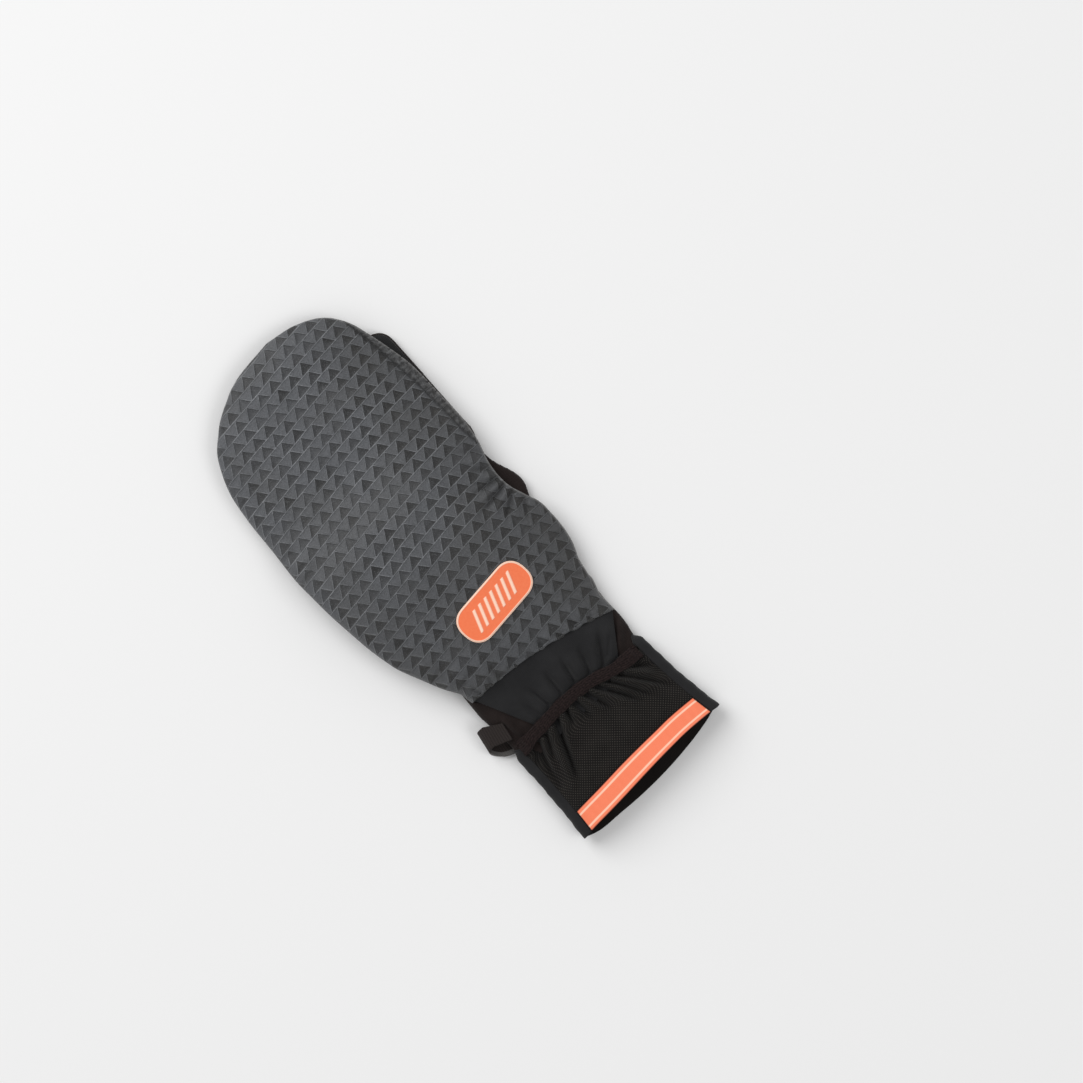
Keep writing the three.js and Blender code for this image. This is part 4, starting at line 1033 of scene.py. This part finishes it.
mark(hood_back, "edge_strip", lambda x, y: smooth(-0.2, 0.4, past_seam(x, y)) * beside_strip(y))
mark(hood_back, "seam_line", lambda x, y: np.exp(-((past_seam(x, y) - 0.1) / 0.55) ** 2) * beside_strip(y))
# Painted highlight: a light line along the hood's right edge, where its rim catches the light.
mark(hood_back, "right_edge_highlight", lambda x, y: smooth(0.9, 0.3, hood_edges(y)[1] - x))
# Painted shade: the hood's fold valleys are marked so that its colour darkens in them.
mark(hood_back, "painted_fold_shade", lambda x, y: np.clip(-creases(x, y, hood_folds) / 1.6, 0, 1))
walled(hood_back, 1.0)

# The embossed cloth: dark upright triangles, paler hanging ones and thin light ridges, by the same sums as
# the relief. Their dark and light are partly the emboss's own tone and partly painted shade in the sunk
# triangles and painted highlight on the ridges. The strip at the edge is plain cloth.
flat_grey, sunk_grey_and_shade, ridge_grey_and_highlight = (87, 89, 93), (24, 24, 25), (134, 136, 140)
shell = Finish("embossed softshell", 0.6, 0.15, specular=0.35)
on_piece = shell.place()
spot, cell_place = shell.parts(on_piece), shell.node("UVMap", uv_map="emboss").outputs[0]
cell_a, cell_b = [shell.math("FRACT", part) for part in shell.parts(cell_place)[:2]]
across = shell.times(shell.math("MINIMUM", cell_a, shell.math("SUBTRACT", 1.0, cell_a)), column_pitch)
up = shell.times(cell_b, row_pitch)
side_length = float(np.hypot(row_pitch, column_pitch / 2))
slope = shell.math("SUBTRACT", shell.times(across, row_pitch / side_length),
                   shell.times(up, column_pitch / 2 / side_length))
row_away = shell.math("MINIMUM", up, shell.math("SUBTRACT", row_pitch, up))
sunk = shell.times(shell.between(slope, 0.15, 0.55), shell.between(row_away, 0.15, 0.5))
slope_ridge = shell.between(shell.math("ABSOLUTE", slope), 0.05, 0.4, 1.0, 0.0)
ridge = shell.math("MAXIMUM", shell.between(row_away, 0.1, 0.5, 1.0, 0.0), shell.times(slope_ridge, 0.9))
patchy = shell.between(shell.noise(on_piece, 15.0, 3.0), 0.35, 0.55, 0.6, 1.0)
which_cell = shell.node("VectorMath", {0: cell_place}, operation="FLOOR").outputs[0]
per_cell = shell.node("TexWhiteNoise", {"Vector": which_cell}).outputs["Value"]
grain = shell.noise(on_piece, 0.7, 3.0)
plain = shell.marked("edge_strip")
sunk_share = shell.times(sunk, shell.math("MULTIPLY_ADD", per_cell, 0.45, 0.6))
# Painted shade: the sunk triangles darken more towards the little finger's side and towards the wrist.
deeper_shade = shell.math("ADD", shell.between(spot[0], 0.0, 30.0, 0.95, 1.25),
                    shell.between(spot[1], 95.0, 160.0, 0.3, 0.0))
# The ridges' light, which is partly painted highlight, fades in patches and towards the wrist.
ridge_fade = shell.times(shell.between(shell.noise(on_piece, 5.0, 3.0), 0.35, 0.65, 0.35, 1.0),
                   shell.between(spot[1], 95.0, 160.0, 0.45, 1.0))
# Painted light and shade of the strip's crinkles: pale and dark blotches on its plain cloth.
crinkle_light_and_shade = shell.blend(shell.between(shell.noise(on_piece, 1.8, 2.0), 0.38, 0.62), paint(44, 43, 43),
                       paint(96, 97, 98))
shade = shell.blend(shell.times(sunk_share, patchy, deeper_shade), paint(*flat_grey), paint(*sunk_grey_and_shade))
# Over that, in turn: ridges with their painted highlight, the crinkled strip with painted light and shade,
# grain, a brown tint, light flecks, painted shade darkening towards the wrist, the darker little finger's
# side, the strip's seam, painted shade in the folds and a painted highlight along the right edge
for share, tone in (
        (shell.times(ridge, patchy, ridge_fade), paint(*ridge_grey_and_highlight)),
        (shell.times(plain, 0.75), crinkle_light_and_shade),
        (shell.between(grain, 0.35, 0.7, 0.0, 0.5), paint(52, 53, 55)),
        (shell.between(shell.noise(on_piece, 28.0, 2.0), 0.4, 0.62, 0.0, 0.2), paint(66, 64, 60)),
        (shell.between(shell.noise(on_piece, 0.45, 2.0), 0.5, 0.75, 0.0, 0.45), paint(112, 114, 117)),
        # painted shade of the cloth's curve, darker towards the wrist
        (shell.between(spot[1], 90.0, 225.0, 0.27, 0.02), paint(30, 29, 27)),
        (shell.between(spot[0], 8.0, 42.0, 0.0, 0.3), paint(34, 32, 29)),
        (shell.times(shell.marked("seam_line"), 0.9), paint(18, 18, 19)),
        # painted shade in the fold valleys
        (shell.times(shell.marked("painted_fold_shade"), 0.5), paint(28, 27, 26)),
        # painted highlight along the right edge
        (shell.times(shell.marked("right_edge_highlight"), 0.55), paint(122, 121, 120))):
    shade = shell.blend(share, shade, tone)
height = shell.times(shell.math("SUBTRACT", ridge, shell.times(sunk, 0.6)),
                     shell.math("SUBTRACT", 1.0, shell.times(plain, 0.55)))
height = shell.math("ADD", height, shell.times(grain, 0.5))
fit(hood_back, ["hood_back"], shell.finish(shade, height, 0.35))


# The hood's palm panel: plain softshell from the mouth, which the fingers go in at, to the tip. It is
# sewn to the hood's back round the edge.
panel_share = np.concatenate([np.linspace(-1, -0.6, 30), np.linspace(-0.6, 0.15, 24)[1:-1],
                              np.linspace(0.15, 0.65, 60), np.linspace(0.65, 1, 40)[1:]])[None, :]
turn = np.clip((np.abs(panel_share) - flat_share) / (1 - flat_share), 0, 1)
panel_rise = np.sqrt(1 - turn ** 2)
near_left, near_right = hood_edges(np.array(crotch_y))
mouth_x = mix(near_left, near_right, (panel_share + 1) / 2)
mouth = mix(crotch_y - 1.3 * finger_pitch, crotch_y + 0.06 * palm_length,
            smooth(ring_edge - 0.55 * finger_pitch, ring_edge - 0.12 * finger_pitch, mouth_x))
y = mix(mouth, tip_y, rows_to_tip(80, 26, 0.1))
left, right = hood_edges(y)
x = mix(left, right, (panel_share + 1) / 2)
top = hood_edge(x, y) - seam_gap / 2
tilt = (body_height(y) + 2 * hood_layer) * edge_share * (1 - tip_round(y))
step = smooth(ring_edge, little_edge, x) * side_start(y) * side_end(y)
low = np.minimum(thumb_lift(x, y) + step * over_little + tilt, top)
hem = np.exp(-((y - mouth - 1.5) / 1.3) ** 2)
z = np.maximum(mix(top, low, panel_rise) - 0.5 * hem, 0)
hood_palm = cloth("hood_palm_panel", grid(x, y, z)[:, ::-1])
walled(hood_palm, 1.0)
fit(hood_palm, ["hood_palm"], knit("softshell under the hood", (58, 57, 59), (44, 43, 45), True))


# The patch: a soft orange rubber plate with a pale rim and a row of short slanting bars, bonded to the
# hood's back.
patch_length, patch_width, patch_thickness = 43.2, 19.4, 0.9
patch_x, patch_y, patch_turn = 0.5, wrist_y + 59.6, np.radians(5.7)
patch_straight, patch_corner = 12.1, 2.4  # half the straight part of a side; the power of the rounded ends
rim_width, bar_count, bar_pitch, bar_slant, bar_reach = 1.1, 7, 4.0, 0.5, 5.0


def past_straight(long):
    """How far into a rounded end a place lies, from 0 along the straight sides to 1 at the very end."""
    return np.clip(np.abs(long) - patch_straight, 0, None) / (patch_length / 2 - patch_straight)


def patch_rim(long, wide):
    """How far inside the patch's rim a place lies: the sides are straight, and the ends are arcs a
    little fuller than a half circle."""
    out = past_straight(long) ** patch_corner + np.abs(2 * wide / patch_width) ** patch_corner
    reach = out ** (1 / patch_corner)
    return (1 - reach) * patch_width / 2


def patch_marks(long, wide):
    """1 on the rim and on the slanting bars and 0 between them."""
    row_place = long - bar_slant * wide
    bar = np.abs(row_place / bar_pitch - np.round(row_place / bar_pitch)) * bar_pitch
    in_bars = (np.abs(row_place) < bar_count / 2 * bar_pitch) & (np.abs(wide) < bar_reach)
    return np.maximum(1 - smooth(rim_width - 0.4, rim_width, patch_rim(long, wide)),
                      (1 - smooth(0.65, 1.0, bar)) * in_bars)


v = np.linspace(-1, 1, 180)[:, None]
u = np.linspace(-1, 1, 90)[None, :]
end_on = np.sign(v) * (1 - (1 - np.abs(v)) ** 1.5)
long = patch_length / 2 * end_on
wide_here = np.clip(1 - past_straight(long) ** patch_corner, 0, 1) ** (1 / patch_corner)
wide = -patch_width / 2 * wide_here * np.sign(u) * np.sin(np.abs(u) * np.pi / 2)
turn_x, turn_y = np.cos(patch_turn), np.sin(patch_turn)
x = patch_x + long * turn_x - wide * turn_y
y = patch_y + long * turn_y + wide * turn_x
left, right = hood_edges(y)
share = (2 * x - left - right) / (right - left)
level = hood_top(share, x, y) + hood_swell(share, x, y) + 0.35
rounded = patch_thickness * (0.3 + 0.7 * smooth(0, 0.8, patch_rim(long, wide)))
patch = cloth("rubber_patch", grid(x, y, level + rounded + 0.3 * patch_marks(long, wide)))
mark(patch, "raised", lambda x, y: patch_marks((x - patch_x) * turn_x + (y - patch_y) * turn_y,
                                               (y - patch_y) * turn_x - (x - patch_x) * turn_y))
walled(patch, 0.6)
rubber = Finish("orange rubber", 0.42, specular=0.45)
pores = rubber.noise(rubber.place(), 1.2, 3.0)
rubber_orange = rubber.blend(pores, paint(238, 112, 66), paint(248, 128, 82))
rubber_paint = rubber.blend(rubber.marked("raised"), rubber_orange, paint(255, 214, 190))
fit(patch, ["patch"], rubber.finish(rubber_paint, pores, 0.04))
